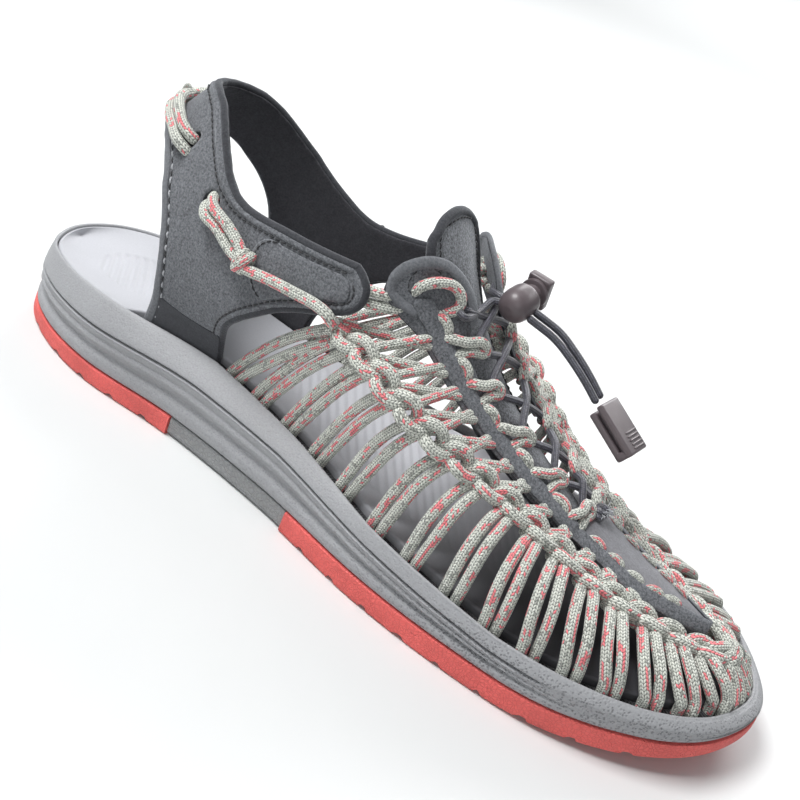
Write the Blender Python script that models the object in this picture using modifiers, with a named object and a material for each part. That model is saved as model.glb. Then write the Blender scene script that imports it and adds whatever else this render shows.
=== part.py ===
"""Closed-toe woven cord sandal, right foot. Builds every piece at its real size, in metres, +X to the toe, +Z up."""
import bpy, bmesh, math
import numpy as np
from mathutils import Vector, Matrix
from mathutils.geometry import delaunay_2d_cdt

for old in list(bpy.data.objects):
    bpy.data.objects.remove(old, do_unlink=True)

# ---------------------------------------------------------------- sizes, in mm
MM = 0.001
L = 290.0            # outsole length
TOE_Y = 4.0          # the toe's point, towards the big toe
GAP = 0.35           # between neighbouring pieces
CORD = 3.7           # braided cord
LACE = 2.4           # elastic lace
WALL = 2.4           # heel strap
PANEL = 1.9          # vamp and eyestays
TONGUE = 3.0
HEEL_END, ARCH_END = 87.0, 141.0   # where the outsole's three parts meet
SHIFT = Vector((-L / 2, -1.0, 0))  # the frame's origin is under the middle of the sole

OUTLINE = [  # x/L, lateral half width, medial half width
    (0.020, 17.5, 16.5), (0.070, 28.6, 27.8), (0.160, 36.2, 33.8), (0.300, 34.8, 31.6),
    (0.450, 38.4, 33.0), (0.600, 46.0, 42.0), (0.720, 47.2, 48.0), (0.830, 43.8, 48.5),
    (0.920, 33.0, 40.5), (0.975, 17.8, 23.5)]
RIM = [  # x/L, bevel inset, rim z, groove z, foot of the midsole above the tread
    (0.00, 2.5, 27.8, 19.0, 5.0), (0.15, 5.0, 30.6, 21.0, 6.5), (0.32, 8.2, 30.8, 23.6, 7.2),
    (0.45, 6.0, 28.2, 23.0, 7.5), (0.58, 2.6, 24.6, 19.6, 7.6), (0.75, 2.0, 19.9, 15.4, 7.6),
    (0.90, 3.2, 19.6, 15.6, 7.0), (1.00, 4.4, 19.6, 16.6, 4.6)]
CHAIN = [  # x, lateral z, lateral y, medial y, medial z
    (133, 70.6, -32.5, 33.0, 61.0), (140, 70.5, -34.5, 35.0, 62.5), (150, 68.0, -37.5, 37.0, 63.0), (160, 64.5, -38.5, 38.0, 61.5),
    (170, 60.0, -36.5, 36.5, 58.5), (180, 55.0, -32.5, 32.0, 54.5), (190, 50.3, -28.0, 27.0, 50.3), (200, 46.2, -24.6, 23.0, 46.2),
    (210, 42.4, -22.0, 20.5, 42.4), (220, 39.6, -20.6, 18.5, 39.6), (230, 36.6, -19.0, 16.0, 36.6), (240, 33.6, -16.0, 13.5, 33.6),
    (250, 31.2, -11.5, 11.5, 31.2), (260, 29.2, -7.6, 9.5, 29.2), (269, 28.2, -2.5, 7.0, 28.2)]
RIDGE = [(141, 109), (150, 97), (160, 84), (170, 74), (180, 66), (191, 58.7), (202, 52.5),
         (217, 45.6), (230, 41.3), (243, 38.0), (255, 35.4), (265, 33.0), (275, 30.5)]
LINKS = [  # base x in the channel, link x on the chain, hole x under the eyestay
    (101.5, 137.0, 151), (112.5, 141, 157), (126, 149.5, 164), (140, 160, 173), (154.5, 170, 182), (170, 181, 191.5),
    (184.5, 191, 200), (200, 201, 209), (214.5, 210.5, 217.5), (227.5, 219.5, 226), (240, 229.5, 235), (251.5, 239, 243.5),
    (262.5, 249, 252.5), (271.5, 257.5, 260), (278.5, 265, 266)]
ARM = [  # one section of the eyestay arm: outer x, y, z, inner x, y, z (lateral side)
    (142.6, -22.6, 94.6, 147.2, -17.4, 96.6), (140.2, -26.8, 91.2, 151.8, -12.6, 96.0), (140.0, -29.5, 86.0, 158.0, -8.6, 91.5), (145.5, -27.6, 81.0, 161.5, -8.2, 85.6),
    (153.0, -24.0, 76.5, 163.8, -10.2, 79.6), (160.0, -22.3, 71.3, 167.5, -12.2, 74.2), (168.5, -21.0, 65.0, 173.8, -12.2, 67.6),
    (178.5, -19.5, 58.8, 182.3, -11.6, 61.3), (190.5, -17.8, 52.6, 193.4, -10.2, 55.2), (203.5, -16.0, 47.0, 206.0, -8.4, 49.6),
    (216.5, -14.6, 42.2, 218.2, -6.6, 44.6)]
VAMP = [  # outer x, outer y, outer z, panel from the throat to the toe (lateral side)
    (228.0, -11.9, 39.3), (240.0, -8.6, 36.2), (250.0, -4.4, 34.0), (258.0, -1.1, 32.3), (263.5, 1.1, 31.2)]
ANKLE_D = [(0, 0), (1, 5), (4, 9.5), (9, 14), (17, 18.5), (27, 22.5), (40, 26), (60, 29), (75, 30.5), (100, 32.5), (120, 33)]  # forward of the back, half width
ANKLE = [  # z, back x, lateral flare, medial flare
    (25, 25, 1.5, 1.5), (45, 25, 2.5, 1.0), (60, 26, 2.5, 0.5), (75, 29, 1.5, 0.5), (86, 33, 0.3, 0), (96, 38, -0.5, 0), (105, 43.5, -1, 0), (115, 50, -1.5, 0)]
STRAP_LATERAL = {  # x, z along each edge, from the sole to the back or to the tab's end
    "rear": [(65.0, 26.0), (64.9, 39.1), (61.3, 51.8), (58.1, 60.7), (54.1, 69.0), (48.8, 78.2), (43.8, 83.9), (38.6, 86.6)],
    "front": [(95.8, 26.0), (95.8, 38.0), (97.6, 46.9), (101.3, 53.3), (106.3, 58.6), (112.2, 63.8), (119.9, 68.4), (127.0, 71.8), (133.2, 75.4)],
    "end": [(136.6, 78.6), (137.6, 82.6), (136.2, 87.2)],
    "top": [(131.7, 90.2), (118.4, 87.8), (103.9, 86.4), (95.9, 85.6), (87.9, 85.7), (82.6, 87.6), (76.9, 91.4), (69.8, 97.4), (62.5, 103.4), (55.5, 107.6), (49.0, 108.0)]}
STRAP_MEDIAL = {
    "rear": [(65.0, 26.0), (66.6, 42.0), (66.0, 52.0), (64.0, 61.5), (60.0, 69.5), (53.0, 77.0), (46.5, 83.0), (39.5, 86.6)],
    "front": [(95.8, 26.0), (95.8, 36.0), (97.6, 43.5), (101.3, 49.5), (106.5, 54.0), (112.2, 58.5), (119.9, 61.9), (127.0, 64.4), (133.2, 66.6)],
    "end": [(136.2, 69.6), (137.0, 73.6), (135.4, 78.5)],
    "top": [(130.0, 80.5), (118.4, 77.5), (109.0, 75.8), (99.4, 75.8), (90.2, 79.3), (80.9, 84.6), (74.5, 89.0), (67.5, 93.6), (61.0, 98.6), (54.5, 102.5), (48.0, 105.0)]}
STRAP_BACK = (37.0, 106.3, 34.0, 86.8)   # top edge x, z and lower edge x, z at the very back
LACE_NEAR = [(165.5, 80.0), (172.5, 70.5), (182.5, 63.5), (194.0, 57.0), (206.0, 51.2), (217.5, 46.6)]  # x, z of the lace where it turns, lateral side
LOCK_AT, LOCK_AXIS = Vector((168.5, 3.0, 89.0)), Vector((0.05, 0.97, 0.22)).normalized()
PRESS = 3.0          # travel of the lock's button
TAIL = [(176.5, 7.4, 87.0), (183.0, 7.2, 85.4), (190.0, 6.8, 82.6), (197.0, 6.2, 79.0), (202.5, 5.6, 75.6)]
CLIP_AT, CLIP_DIR = Vector((212.3, 4.6, 70.6)), Vector((0.88, -0.09, -0.465)).normalized()

# ---------------------------------------------------------------- small helpers
def col(tab, x, c):
    t = np.array(tab, float)
    return np.interp(np.asarray(x, float) / L, t[:, 0], t[:, c])

def look(tab, x, c):
    t = np.array(tab, float)
    return np.interp(np.asarray(x, float), t[:, 0], t[:, c])

def spline(points, n, closed=False):
    """centripetal Catmull-Rom through the points"""
    p = np.array(points, float)
    p = np.vstack([p[-1], p, p[0], p[1]]) if closed else np.vstack([2 * p[0] - p[1], p, 2 * p[-1] - p[-2]])
    seg, out = len(p) - 3, []
    for i in range(seg):
        a, b, c, d = p[i:i + 4]
        t = np.cumsum([0] + [max(np.linalg.norm(v), 1e-6) ** 0.5 for v in (b - a, c - b, d - c)])
        for s in np.linspace(t[1], t[2], n * (i + 1) // seg - n * i // seg, endpoint=False):
            A = [(t[k + 1] - s) / (t[k + 1] - t[k]) * q + (s - t[k]) / (t[k + 1] - t[k]) * r for k, (q, r) in enumerate(((a, b), (b, c), (c, d)))]
            B = [(t[k + 2] - s) / (t[k + 2] - t[k]) * A[k] + (s - t[k]) / (t[k + 2] - t[k]) * A[k + 1] for k in (0, 1)]
            out.append((t[2] - s) / (t[2] - t[1]) * B[0] + (s - t[1]) / (t[2] - t[1]) * B[1])
    if not closed:
        out.append(p[-2])
    return np.array(out)

def spaced(path, n):
    q = np.array(path, float)
    d = np.r_[0, np.cumsum(np.linalg.norm(np.diff(q, axis=0), axis=1))]
    return np.stack([np.interp(np.linspace(0, d[-1], n), d, q[:, k]) for k in range(q.shape[1])], -1)

def smooth(t):
    t = np.clip(t, 0, 1)
    return t * t * (3 - 2 * t)

parts = bpy.data.collections.new("woven_cord_sandal")
cutters = bpy.data.collections.new("cutters")
for c in (parts, cutters):
    bpy.context.scene.collection.children.link(c)

def material(name, rgb, rough, metal=0.0):
    m = bpy.data.materials.new(name)
    m.use_nodes = True
    b = m.node_tree.nodes["Principled BSDF"]
    b.inputs["Base Color"].default_value = (*rgb, 1)
    b.inputs["Roughness"].default_value = rough
    b.inputs["Metallic"].default_value = metal
    return m

def add(name, verts, faces, look_=None, where=None):
    me = bpy.data.meshes.new(name)
    me.from_pydata([tuple(float(c) * MM for c in (Vector(v) + SHIFT)) for v in verts], [], [tuple(int(i) for i in f) for f in faces])
    me.validate()
    bm = bmesh.new(); bm.from_mesh(me)
    bmesh.ops.remove_doubles(bm, verts=bm.verts, dist=2e-5)
    bmesh.ops.recalc_face_normals(bm, faces=bm.faces)
    bm.to_mesh(me); bm.free()
    ob = bpy.data.objects.new(name, me)
    (where or parts).objects.link(ob)
    if look_:
        me.materials.append(material(*look_))
    if where is cutters:
        ob.hide_render = True; ob.display_type = "WIRE"
    return ob

def boolean(ob, other, how="DIFFERENCE", own=False):
    m = ob.modifiers.new(how.lower(), "BOOLEAN")
    m.operation, m.solver, m.object, m.use_self = how, "EXACT", other, own
    return m

def settle(ob):
    """the object's modifiers made real, so that later steps see one mesh"""
    dg = bpy.context.evaluated_depsgraph_get()
    me = bpy.data.meshes.new_from_object(ob.evaluated_get(dg))
    ob.modifiers.clear()
    ob.data = me
    return ob

def sweep(path, wide, thick, up, sides=6):
    """a closed tube with an elliptical section along a path; up is the section's short axis"""
    p = np.array(path, float); n = len(p)
    wide, thick = np.broadcast_to(wide, n), np.broadcast_to(thick, n)
    t = np.gradient(p, axis=0); t /= np.linalg.norm(t, axis=1, keepdims=True)
    up = np.broadcast_to(np.array(up, float), (n, 3))
    u = up - (up * t).sum(1, keepdims=True) * t; u /= np.linalg.norm(u, axis=1, keepdims=True)
    s = np.cross(t, u)
    ang = np.arange(sides) * 2 * math.pi / sides + (math.pi / sides if sides == 4 else 0)
    k = math.sqrt(2) if sides == 4 else 1.0
    v = [tuple(p[i] + k * (0.5 * wide[i] * math.cos(a) * s[i] + 0.5 * thick[i] * math.sin(a) * u[i])) for i in range(n) for a in ang]
    f = [(i * sides + j, i * sides + (j + 1) % sides, (i + 1) * sides + (j + 1) % sides, (i + 1) * sides + j) for i in range(n - 1) for j in range(sides)]
    f += [tuple(range(sides))[::-1], tuple((n - 1) * sides + j for j in range(sides))]
    return v, f

def merged(*meshes):
    v, f = [], []
    for mv, mf in meshes:
        k = len(v); v += list(mv); f += [tuple(i + k for i in face) for face in mf]
    return v, f

# ---------------------------------------------------------------- the sole's own curves
_oc = spline([(0.0, 0.0)] + [(r[0] * L, -r[1]) for r in OUTLINE] + [(L, TOE_Y)] + [(r[0] * L, r[2]) for r in OUTLINE][::-1], 1600, closed=True)
_tip = int(np.argmax(_oc[:, 0]))
EDGE = {-1: spaced(_oc[:_tip + 1], 600), 1: spaced(np.vstack([_oc[:1], _oc[_tip:][::-1]]), 600)}

def normals(side):
    d = np.gradient(EDGE[side], axis=0); d /= np.linalg.norm(d, axis=1, keepdims=True)
    return np.stack([-d[:, 1], d[:, 0]], 1) * (-side)

NORMAL = {-1: normals(-1), 1: normals(1)}
for s in (-1, 1):   # both sides leave the tips straight along the foot
    NORMAL[s][0], NORMAL[s][-1] = (1, 0), (-1, 0)

def bottom_z(x):
    x = np.asarray(x, float)
    return 9.7 * np.clip((x / L - 0.74) / 0.26, 0, 1) ** 2 + 1.6 * np.clip(1 - x / 12, 0, 1) ** 2

bev = lambda x: col(RIM, x, 1)
rim_z = lambda x: col(RIM, x, 2)
groove_z = lambda x: col(RIM, x, 3)
foot_z = lambda x: bottom_z(x) + col(RIM, x, 4)

def inset_y(x, inset, side):
    """y of the outline moved inwards by inset(x), at each x"""
    q = EDGE[side] + NORMAL[side] * np.asarray(inset(EDGE[side][:, 0]))[:, None]
    return np.interp(x, np.maximum.accumulate(q[:, 0]), q[:, 1])

def loop(rows, x0=None, x1=None, n=30):
    """ring points for each row (inset function, z function), near side then far side back"""
    pick = {}
    for s in (-1, 1):
        if x0 is None:
            pick[s] = np.linspace(0, 599, n + 1).round().astype(int)
        else:
            pick[s] = np.searchsorted(EDGE[s][:, 0], np.linspace(x0, x1, n + 1)).clip(0, 599)
    rings = []
    for inset, z in rows:
        ring = []
        for s, idx in ((-1, pick[-1]), (1, pick[1][::-1])):
            e = EDGE[s][idx]; q = e + NORMAL[s][idx] * np.asarray(inset(e[:, 0]) + 0 * e[:, 0])[:, None]
            if x0 is not None:
                q[:, 0] = np.clip(q[:, 0], x0, x1)
                q[:, 0] = np.where(np.isclose(e[:, 0], x0, atol=1.0) & (x0 > 1), x0, q[:, 0])
                q[:, 0] = np.where(np.isclose(e[:, 0], x1, atol=1.0) & (x1 < L - 1), x1, q[:, 0])
            zz = z(e[:, 0]) + 0 * e[:, 0]
            pts = [(a, b, c) for (a, b), c in zip(q, zz)]
            ring.append(pts)
        rings.append(ring)
    return rings

def ring_solid(rings, dish=None, across=6, tip0=True, tip1=True):
    """side walls through the rings, a flat-ruled bottom, and a top that can be dished"""
    v, f, ids = [], [], []
    def put(p):
        v.append(p); return len(v) - 1
    for near, far in rings:
        far = far[::-1]; a, b = [], []
        for k, (p, q) in enumerate(zip(near, far)):
            i = put(p)
            same = (k == 0 and tip0) or (k == len(near) - 1 and tip1)
            a.append(i); b.append(i if same else put(q))
        ids.append((a, b))
    for (a0, b0), (a1, b1) in zip(ids, ids[1:]):
        for k in range(len(a0) - 1):
            f += [(a0[k], a0[k + 1], a1[k + 1], a1[k]), (b0[k + 1], b0[k], b1[k], b1[k + 1])]
        if not tip0: f.append((b0[0], a0[0], a1[0], b1[0]))
        if not tip1: f.append((a0[-1], b0[-1], b1[-1], a1[-1]))
    for (a, b), top in ((ids[0], False), (ids[-1], True)):
        n = across if (top and dish) else 1
        rows = []
        for i, j in zip(a, b):
            if i == j: rows.append([i]); continue
            p, q = np.array(v[i]), np.array(v[j])
            mid = []
            for t in np.arange(1, n) / n:
                m = p + (q - p) * t
                m[2] += dish(m[0], t)
                mid.append(put(tuple(m)))
            rows.append([i] + mid + [j])
        for r, s in zip(rows, rows[1:]):
            if len(r) == 1: g = [(r[0], s[k + 1], s[k]) for k in range(len(s) - 1)]
            elif len(s) == 1: g = [(r[k], r[k + 1], s[0]) for k in range(len(r) - 1)]
            else: g = [(r[k], r[k + 1], s[k + 1], s[k]) for k in range(len(r) - 1)]
            f += g if top else [x[::-1] for x in g]
    f = [tuple(dict.fromkeys(x)) for x in f]
    return v, [x for x in f if len(x) > 2]

# ---------------------------------------------------------------- outsole
def tread(name, x0, x1, rgb, tuck, cuts, n):
    rows = [(lambda x: 3.0 + tuck, lambda x: bottom_z(x) + (0.6 if tuck else 0)),
            (lambda x: 0.5 + tuck, lambda x: bottom_z(x) + (0.6 if tuck else 0)),
            (lambda x: 0.0 + tuck, lambda x: bottom_z(x) + 1.6),
            (lambda x: 0.25 + tuck, lambda x: foot_z(x))]
    ends = (x0 is None or x0 <= 0, x1 >= L)
    if x0 <= 0 or x1 >= L:   # the rounded end is followed by its own points
        pick = []
        for s in (-1, 1):
            e = EDGE[s]; idx = np.nonzero((e[:, 0] >= x0 - 1e-6) & (e[:, 0] <= x1 + 1e-6))[0]
            pick.append(idx[np.linspace(0, len(idx) - 1, n + 1).round().astype(int)])
        rings = []
        for inset, z in rows:
            ring = []
            for s, idx in ((-1, pick[0]), (1, pick[1])):
                e = EDGE[s][idx]; q = e + NORMAL[s][idx] * np.asarray(inset(e[:, 0]) + 0 * e[:, 0])[:, None]
                if x0 > 0: q[0, 0] = x0
                if x1 < L: q[-1, 0] = x1
                pts = [(a, b, c) for (a, b), c in zip(q, z(e[:, 0]))]
                ring.append(pts if s < 0 else pts[::-1])
            rings.append(ring)
    else:
        rings = loop(rows, x0, x1, n)
    ob = add(name, *ring_solid(rings, tip0=ends[0], tip1=ends[1]), look_=(name, rgb, 0.6))
    if cuts:
        bars = []
        for x, lean in cuts:
            z = float(bottom_z(x)); w = 1.3
            for half in (-1, 1):
                q = [(x, 0.8 * -half), (x + lean, 62.0 * half)]
                path = [(a, b, z - 3.0) for a, b in q]
                bars.append(sweep(path, w * 2, 9.2, (0, 0, 1), sides=4))
        cutter = add(name + "_bars", *merged(*bars), where=cutters)
        boolean(ob, cutter, own=True)
    return ob

tread("outsole_heel", 0.0, HEEL_END, (0.83, 0.13, 0.11), 0.0, [(16, 6), (30, 8), (44, 8), (58, 8), (72, 8)], 16)
tread("outsole_arch", HEEL_END + GAP, ARCH_END - GAP, (0.32, 0.33, 0.34), 0.9, [], 6)
tread("outsole_forefoot", ARCH_END, L, (0.83, 0.13, 0.11), 0.0, [(156 + 14 * k, -7) for k in range(9)], 26)

# ---------------------------------------------------------------- midsole and footbed
fade = lambda x, a, b: 1 - smooth((np.asarray(x, float) - a) / (b - a))
RECESS = 6.6
channel_z = lambda x: foot_z(x) + 0.42 * (groove_z(x) - foot_z(x))
mid_rows = [
    (lambda x: 1.6 + 0 * x, lambda x: foot_z(x) + GAP),
    (lambda x: 0.5 + 0 * x, lambda x: foot_z(x) + 1.3),
    (lambda x: 0.7 + 1.2 * fade(x, 215, 262), channel_z),
    (lambda x: 0.6 + 0 * x, lambda x: groove_z(x) - 2.2),
    (lambda x: 0.7 + 1.1 * fade(x, 200, 240), lambda x: groove_z(x) - 0.4),
    (lambda x: 0.8 + 0 * x, lambda x: groove_z(x) + 0.5),
    (lambda x: 0.55 * bev(x) + 0.3, lambda x: groove_z(x) + 0.5 + 0.62 * (rim_z(x) - groove_z(x) - 0.5)),
    (lambda x: bev(x), rim_z),
    (lambda x: bev(x) + 0.8, lambda x: rim_z(x) - 0.3),
    (lambda x: bev(x) + 0.8, lambda x: rim_z(x) - RECESS)]
add("midsole", *ring_solid(loop(mid_rows, n=36)), look_=("midsole", (0.38, 0.39, 0.41), 0.65))

def foot_inset(x):   # the footbed meets the rim at the heel and leaves a channel for straps and cords ahead of it
    return bev(x) + 0.9 + GAP + 4.5 * smooth((np.asarray(x, float) - 55) / 7)

def dish(x, t):
    cup = 1 - (2 * t - 1) ** 2
    return -cup * (4.2 * math.exp(-((x - 38) / 34) ** 2) + 1.0) - 1.3 * cup * math.exp(-((x - 190) / 60) ** 2) + 0.6 * cup * math.exp(-((x - 105) / 26) ** 2)

bed_rows = [(lambda x: foot_inset(x) + 0.5, lambda x: rim_z(x) - RECESS + GAP),
            (foot_inset, lambda x: rim_z(x) - RECESS + GAP + 0.8),
            (foot_inset, lambda x: rim_z(x) - 1.1),
            (lambda x: foot_inset(x) + 1.0, lambda x: rim_z(x) - 0.5)]
add("footbed", *ring_solid(loop(bed_rows, n=36), dish=dish, across=4), look_=("footbed", (0.66, 0.67, 0.69), 0.7))

# ---------------------------------------------------------------- the woven upper
CH = 3.0   # inset of the cords' line from the rim
def base_pt(x, side, lift=0.0):
    return np.array([x, float(inset_y(x, lambda q: bev(q) + CH, side)), float(rim_z(x)) - 3.2 + lift])

def chain_pt(x, side):
    return np.array([x, float(look(CHAIN, x, 2 if side < 0 else 3)), float(look(CHAIN, x, 1 if side < 0 else 4))])

def channel_path(x0, n):
    idx = np.linspace(0, 599, 600).astype(int)
    q = {s: EDGE[s] + NORMAL[s] * (bev(EDGE[s][:, 0]) + CH)[:, None] for s in (-1, 1)}
    a = q[-1][q[-1][:, 0] >= x0]; b = q[1][q[1][:, 0] >= x0][::-1]
    p = spaced(np.vstack([a[:-3], b[3:]]), n)
    return np.c_[p, rim_z(np.minimum(p[:, 0] * 1.0, L)) - 4.0]

def outward(x, side):
    """roughly the last's outward direction half way up the side"""
    k = smooth((x - 150) / 110)
    v = np.array([0.25 * k, side * (1 - 0.35 * k), 0.25 + 0.75 * k]); return v / np.linalg.norm(v)

def side_path(i, side, n=5):
    b, l, _ = LINKS[i]
    B, T = base_pt(b, side), chain_pt(l, side)
    arch = 0.22 + 0.55 * smooth((b - 110) / 110)
    corner = np.array([B[0] + 0.35 * (T[0] - B[0]), B[1] + side * 2.5, T[2] + 1.0])
    C = (B + T) / 2 + arch * (corner - (B + T) / 2) * 1.15
    up = B + np.array([0.12 * (T[0] - B[0]), 0, 4.6])
    u = np.linspace(0, 1, 30)[:, None]
    q = (1 - u) ** 2 * up + 2 * u * (1 - u) * C + u * u * T
    return spaced(np.vstack([B, q]), n)

def arm_edges(side):
    """outer and inner edge of one eyestay arm, and the panel's outer edge to the toe"""
    def flip(x, y):
        if side < 0: return y
        return -y + float(look(CHAIN, x, 2) + look(CHAIN, x, 3)) * (1 if x > 133 else 0)
    outer = [(a, flip(a, b), c) for a, b, c, *_ in ARM] + [(a, flip(a, b), c) for a, b, c in VAMP]
    inner = [(d, flip(d, e), g) for *_, d, e, g in ARM]
    return np.array(outer), np.array(inner)

EDGES = {s: arm_edges(s) for s in (-1, 1)}

def panel_normal(x, side):
    slope = (look(RIDGE, x + 4, 1) - look(RIDGE, x - 4, 1)) / 8
    v = np.array([-slope, side * 0.34, 1.0]); return v / np.linalg.norm(v)

def hole_pt(x, side, out=0.5):
    """a point on the eyestay's middle surface, out of 1 at its outer edge"""
    o, i = EDGES[side]
    k = len(i)
    mid = o[:k] * out + i * (1 - out)
    ext = o[k:] + np.array([0.0, -side * 5.0 * (1 - out), 0.0])
    m = np.vstack([mid, ext])
    return np.array([x, np.interp(x, m[:, 0], m[:, 1]), np.interp(x, m[:, 0], m[:, 2])])

def rib_path(i, side):
    _, l, h = LINKS[i]
    T = chain_pt(l, side); n = panel_normal(h, side)
    under = PANEL / 2 + GAP + 1.25
    K = hole_pt(h - 1.2, side, 1.12) - n * (under + 0.5)
    H = hole_pt(h, side, 0.62) - n * (under + 0.4)
    E = hole_pt(h + 1.6, side, 0.02) - n * under
    M = (T * 0.6 + K * 0.4) + n * 0.4
    return np.array([T, M, K, H, E]), n

weave = []
for side in (-1, 1):
    for i in range(len(LINKS)):
        p = side_path(i, side)
        weave.append(sweep(p, np.interp(np.linspace(0, 1, len(p)), [0, 0.3, 0.8, 1], [6.6, 8.0, 7.2, 5.4]), CORD, [outward(q[0], side) for q in p], sides=6))
    for i in range(len(LINKS) - 1):
        p, n = rib_path(i, side)
        weave.append(sweep(p, [4.4, 5.6, 4.8, 4.6, 4.2], [3.4, 3.0, 2.2, 2.2, 2.2], n, sides=5))
chain = [spaced([chain_pt(x, s) for x in np.linspace(134.5, 269, 60)], 22) for s in (-1, 1)]
tip = np.array([[273.0, 2.6, 27.8]])
line = np.vstack([chain[0], tip, chain[1][::-1]])
upward = [panel_normal(min(p[0], 262), -1 if p[1] < 1 else 1) for p in line]
weave.append(sweep(line, 7.8, 4.8, upward, sides=6))
base = channel_path(99.0, 64)
cord_upper = add("cord_upper", *sweep(base, 3.4, 3.8, (0, 0, 1), sides=4), look_=("cord_upper", (0.55, 0.56, 0.52), 0.8))
joins = add("weave_joins", *merged(*weave), where=cutters)
boolean(cord_upper, joins, "UNION", own=True)
settle(cord_upper)
bpy.data.objects.remove(joins, do_unlink=True)

# ---------------------------------------------------------------- vamp with eyestay arms
def panel_grid():
    rows, k = [], len(ARM)
    for r in range(k + len(VAMP)):
        row = []
        for side in (-1, 1):
            o, i = EDGES[side]
            if r < k:
                pts = [o[r] * (1 - t) + i[r] * t + panel_normal(o[r][0], side) * 1.2 * 4 * t * (1 - t) for t in (0, 1 / 3, 2 / 3, 1)]
            else:
                mid = (EDGES[-1][0][r] + EDGES[1][0][r]) / 2; mid[2] = look(RIDGE, mid[0], 1)
                pts = []
                for t in (0, 0.28, 0.56, 0.8):
                    p = o[r] * (1 - t) + mid * t; p[2] = o[r][2] + (mid[2] - o[r][2]) * (1 - (1 - t) ** 2)
                    pts.append(p)
            row.append(pts)
        near, far = row
        m = (near[-1] + far[-1]) / 2
        if r < k: m = None
        else: m[2] += 0.25
        rows.append((near, m, far[::-1]))
    return rows

grid = panel_grid()
pv, pf, idx = [], [], []
for near, m, far in grid:
    r = []
    for p in near + ([m] if m is not None else [None]) + far:
        if p is None: r.append(None)
        else: pv.append(tuple(p)); r.append(len(pv) - 1)
    idx.append(r)
throat = grid[len(ARM) - 1]
last = idx[len(ARM) - 1]
m = (np.array(throat[0][-1]) + np.array(throat[2][0])) / 2; m[0] += 3.0; m[2] = look(RIDGE, m[0], 1) - 0.4
pv.append(tuple(m)); last[4] = len(pv) - 1
for a, b in zip(idx, idx[1:]):
    for j in range(len(a) - 1):
        q = (a[j], a[j + 1], b[j + 1], b[j])
        if None not in q: pf.append(q)
vamp = add("vamp_eyestay", pv, pf, look_=("vamp_eyestay", (0.11, 0.115, 0.125), 0.95))
bmv = bmesh.new(); bmv.from_mesh(vamp.data)
if sum(f.normal.z * f.calc_area() for f in bmv.faces) < 0: bmesh.ops.reverse_faces(bmv, faces=bmv.faces)
bmv.to_mesh(vamp.data); bmv.free()
sol = vamp.modifiers.new("wall", "SOLIDIFY"); sol.thickness, sol.offset = PANEL * MM, 0.0

# ---------------------------------------------------------------- tongue
TONGUE_SHAPE = [  # x, half width, drop of the middle below the ridge, drop of the edge
    (141.5, 9.0, 0.2, 3.0), (145.0, 12.0, 1.0, 4.6), (151.0, 12.2, 1.8, 8.8), (160.0, 12.6, 3.0, 13.0), (170.0, 13.0, 4.6, 13.2),
    (181.0, 13.0, 5.0, 12.2), (192.0, 12.4, 5.0, 11.0), (204.0, 11.5, 5.0, 9.4), (214.0, 10.5, 5.4, 8.6), (222.5, 8.5, 6.4, 8.8)]
tv, tf = [], []
for r, (x, w, d0, d1) in enumerate(TONGUE_SHAPE):
    c = 0.5 * float(look(CHAIN, x, 2) + look(CHAIN, x, 3))
    for t in (-1, -0.6, -0.2, 0.2, 0.6, 1):
        tv.append((x, c + w * t, float(look(RIDGE, x, 1)) - d0 - (d1 - d0) * abs(t) ** 1.6))
for r in range(len(TONGUE_SHAPE) - 1):
    for j in range(5):
        tf.append((r * 6 + j, r * 6 + j + 1, r * 6 + j + 7, r * 6 + j + 6))
tongue = add("tongue", tv, tf, look_=("tongue", (0.10, 0.105, 0.115), 0.95))
bmv = bmesh.new(); bmv.from_mesh(tongue.data)
if sum(f.normal.z * f.calc_area() for f in bmv.faces) < 0: bmesh.ops.reverse_faces(bmv, faces=bmv.faces)
bmv.to_mesh(tongue.data); bmv.free()
sol = tongue.modifiers.new("wall", "SOLIDIFY"); sol.thickness, sol.offset = TONGUE * MM, -1.0

# ---------------------------------------------------------------- heel strap, a flat pattern wrapped on the ankle
def ankle_y(x, z, side):
    x, z = float(x), float(z)
    d = max(0.0, x - look(ANKLE, z, 1))
    y = look(ANKLE_D, d, 1) + look(ANKLE, z, 2 if side < 0 else 3) * min(1, d / 15)
    k = float(smooth((56 - z) / 26)) * float(smooth((x - 40) / 22))
    b = abs(float(inset_y(x, lambda q: bev(q) + CH, side)))
    return side * float((1 - k) * max(0.0, y) + k * b)

RUN = spaced([(d, w) for d, w in spline(ANKLE_D, 200)], 400)
RUN_S = np.r_[0, np.cumsum(np.linalg.norm(np.diff(RUN, axis=0), axis=1))]
def run_of(x, z):          # distance round from the back
    return float(np.interp(x - look(ANKLE, z, 1), RUN[:, 0], RUN_S))
def wrap(s, z, side_hint=None):
    side = -1 if s < 0 else 1
    x = float(np.interp(abs(s), RUN_S, RUN[:, 0]) + look(ANKLE, z, 1))
    y = ankle_y(x, z, side)
    return np.array([x, y, z])

def strap_outline():
    out = []
    for side, tab in ((-1, STRAP_LATERAL), (1, STRAP_MEDIAL)):
        pts = [(side * run_of(x, z), z) for x, z in spaced(spline(tab["rear"], 60), 13)[::-1]]
        low = [(side * run_of(x, z), z) for x, z in spaced(spline(tab["front"], 60), 15)]
        end = [(side * run_of(x, z), z) for x, z in tab["end"]]
        top = [(side * run_of(x, z), z) for x, z in spaced(spline(tab["top"], 60), 17)]
        out.append((pts, low, end, top))
    (a, b, c, d), (e, f, g, h) = out
    back_low, back_top = [(0.0, STRAP_BACK[3])], [(0.0, STRAP_BACK[1])]
    return back_low + a + b + c + d + back_top + h[::-1] + g[::-1] + f[::-1] + e[::-1]

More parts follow.
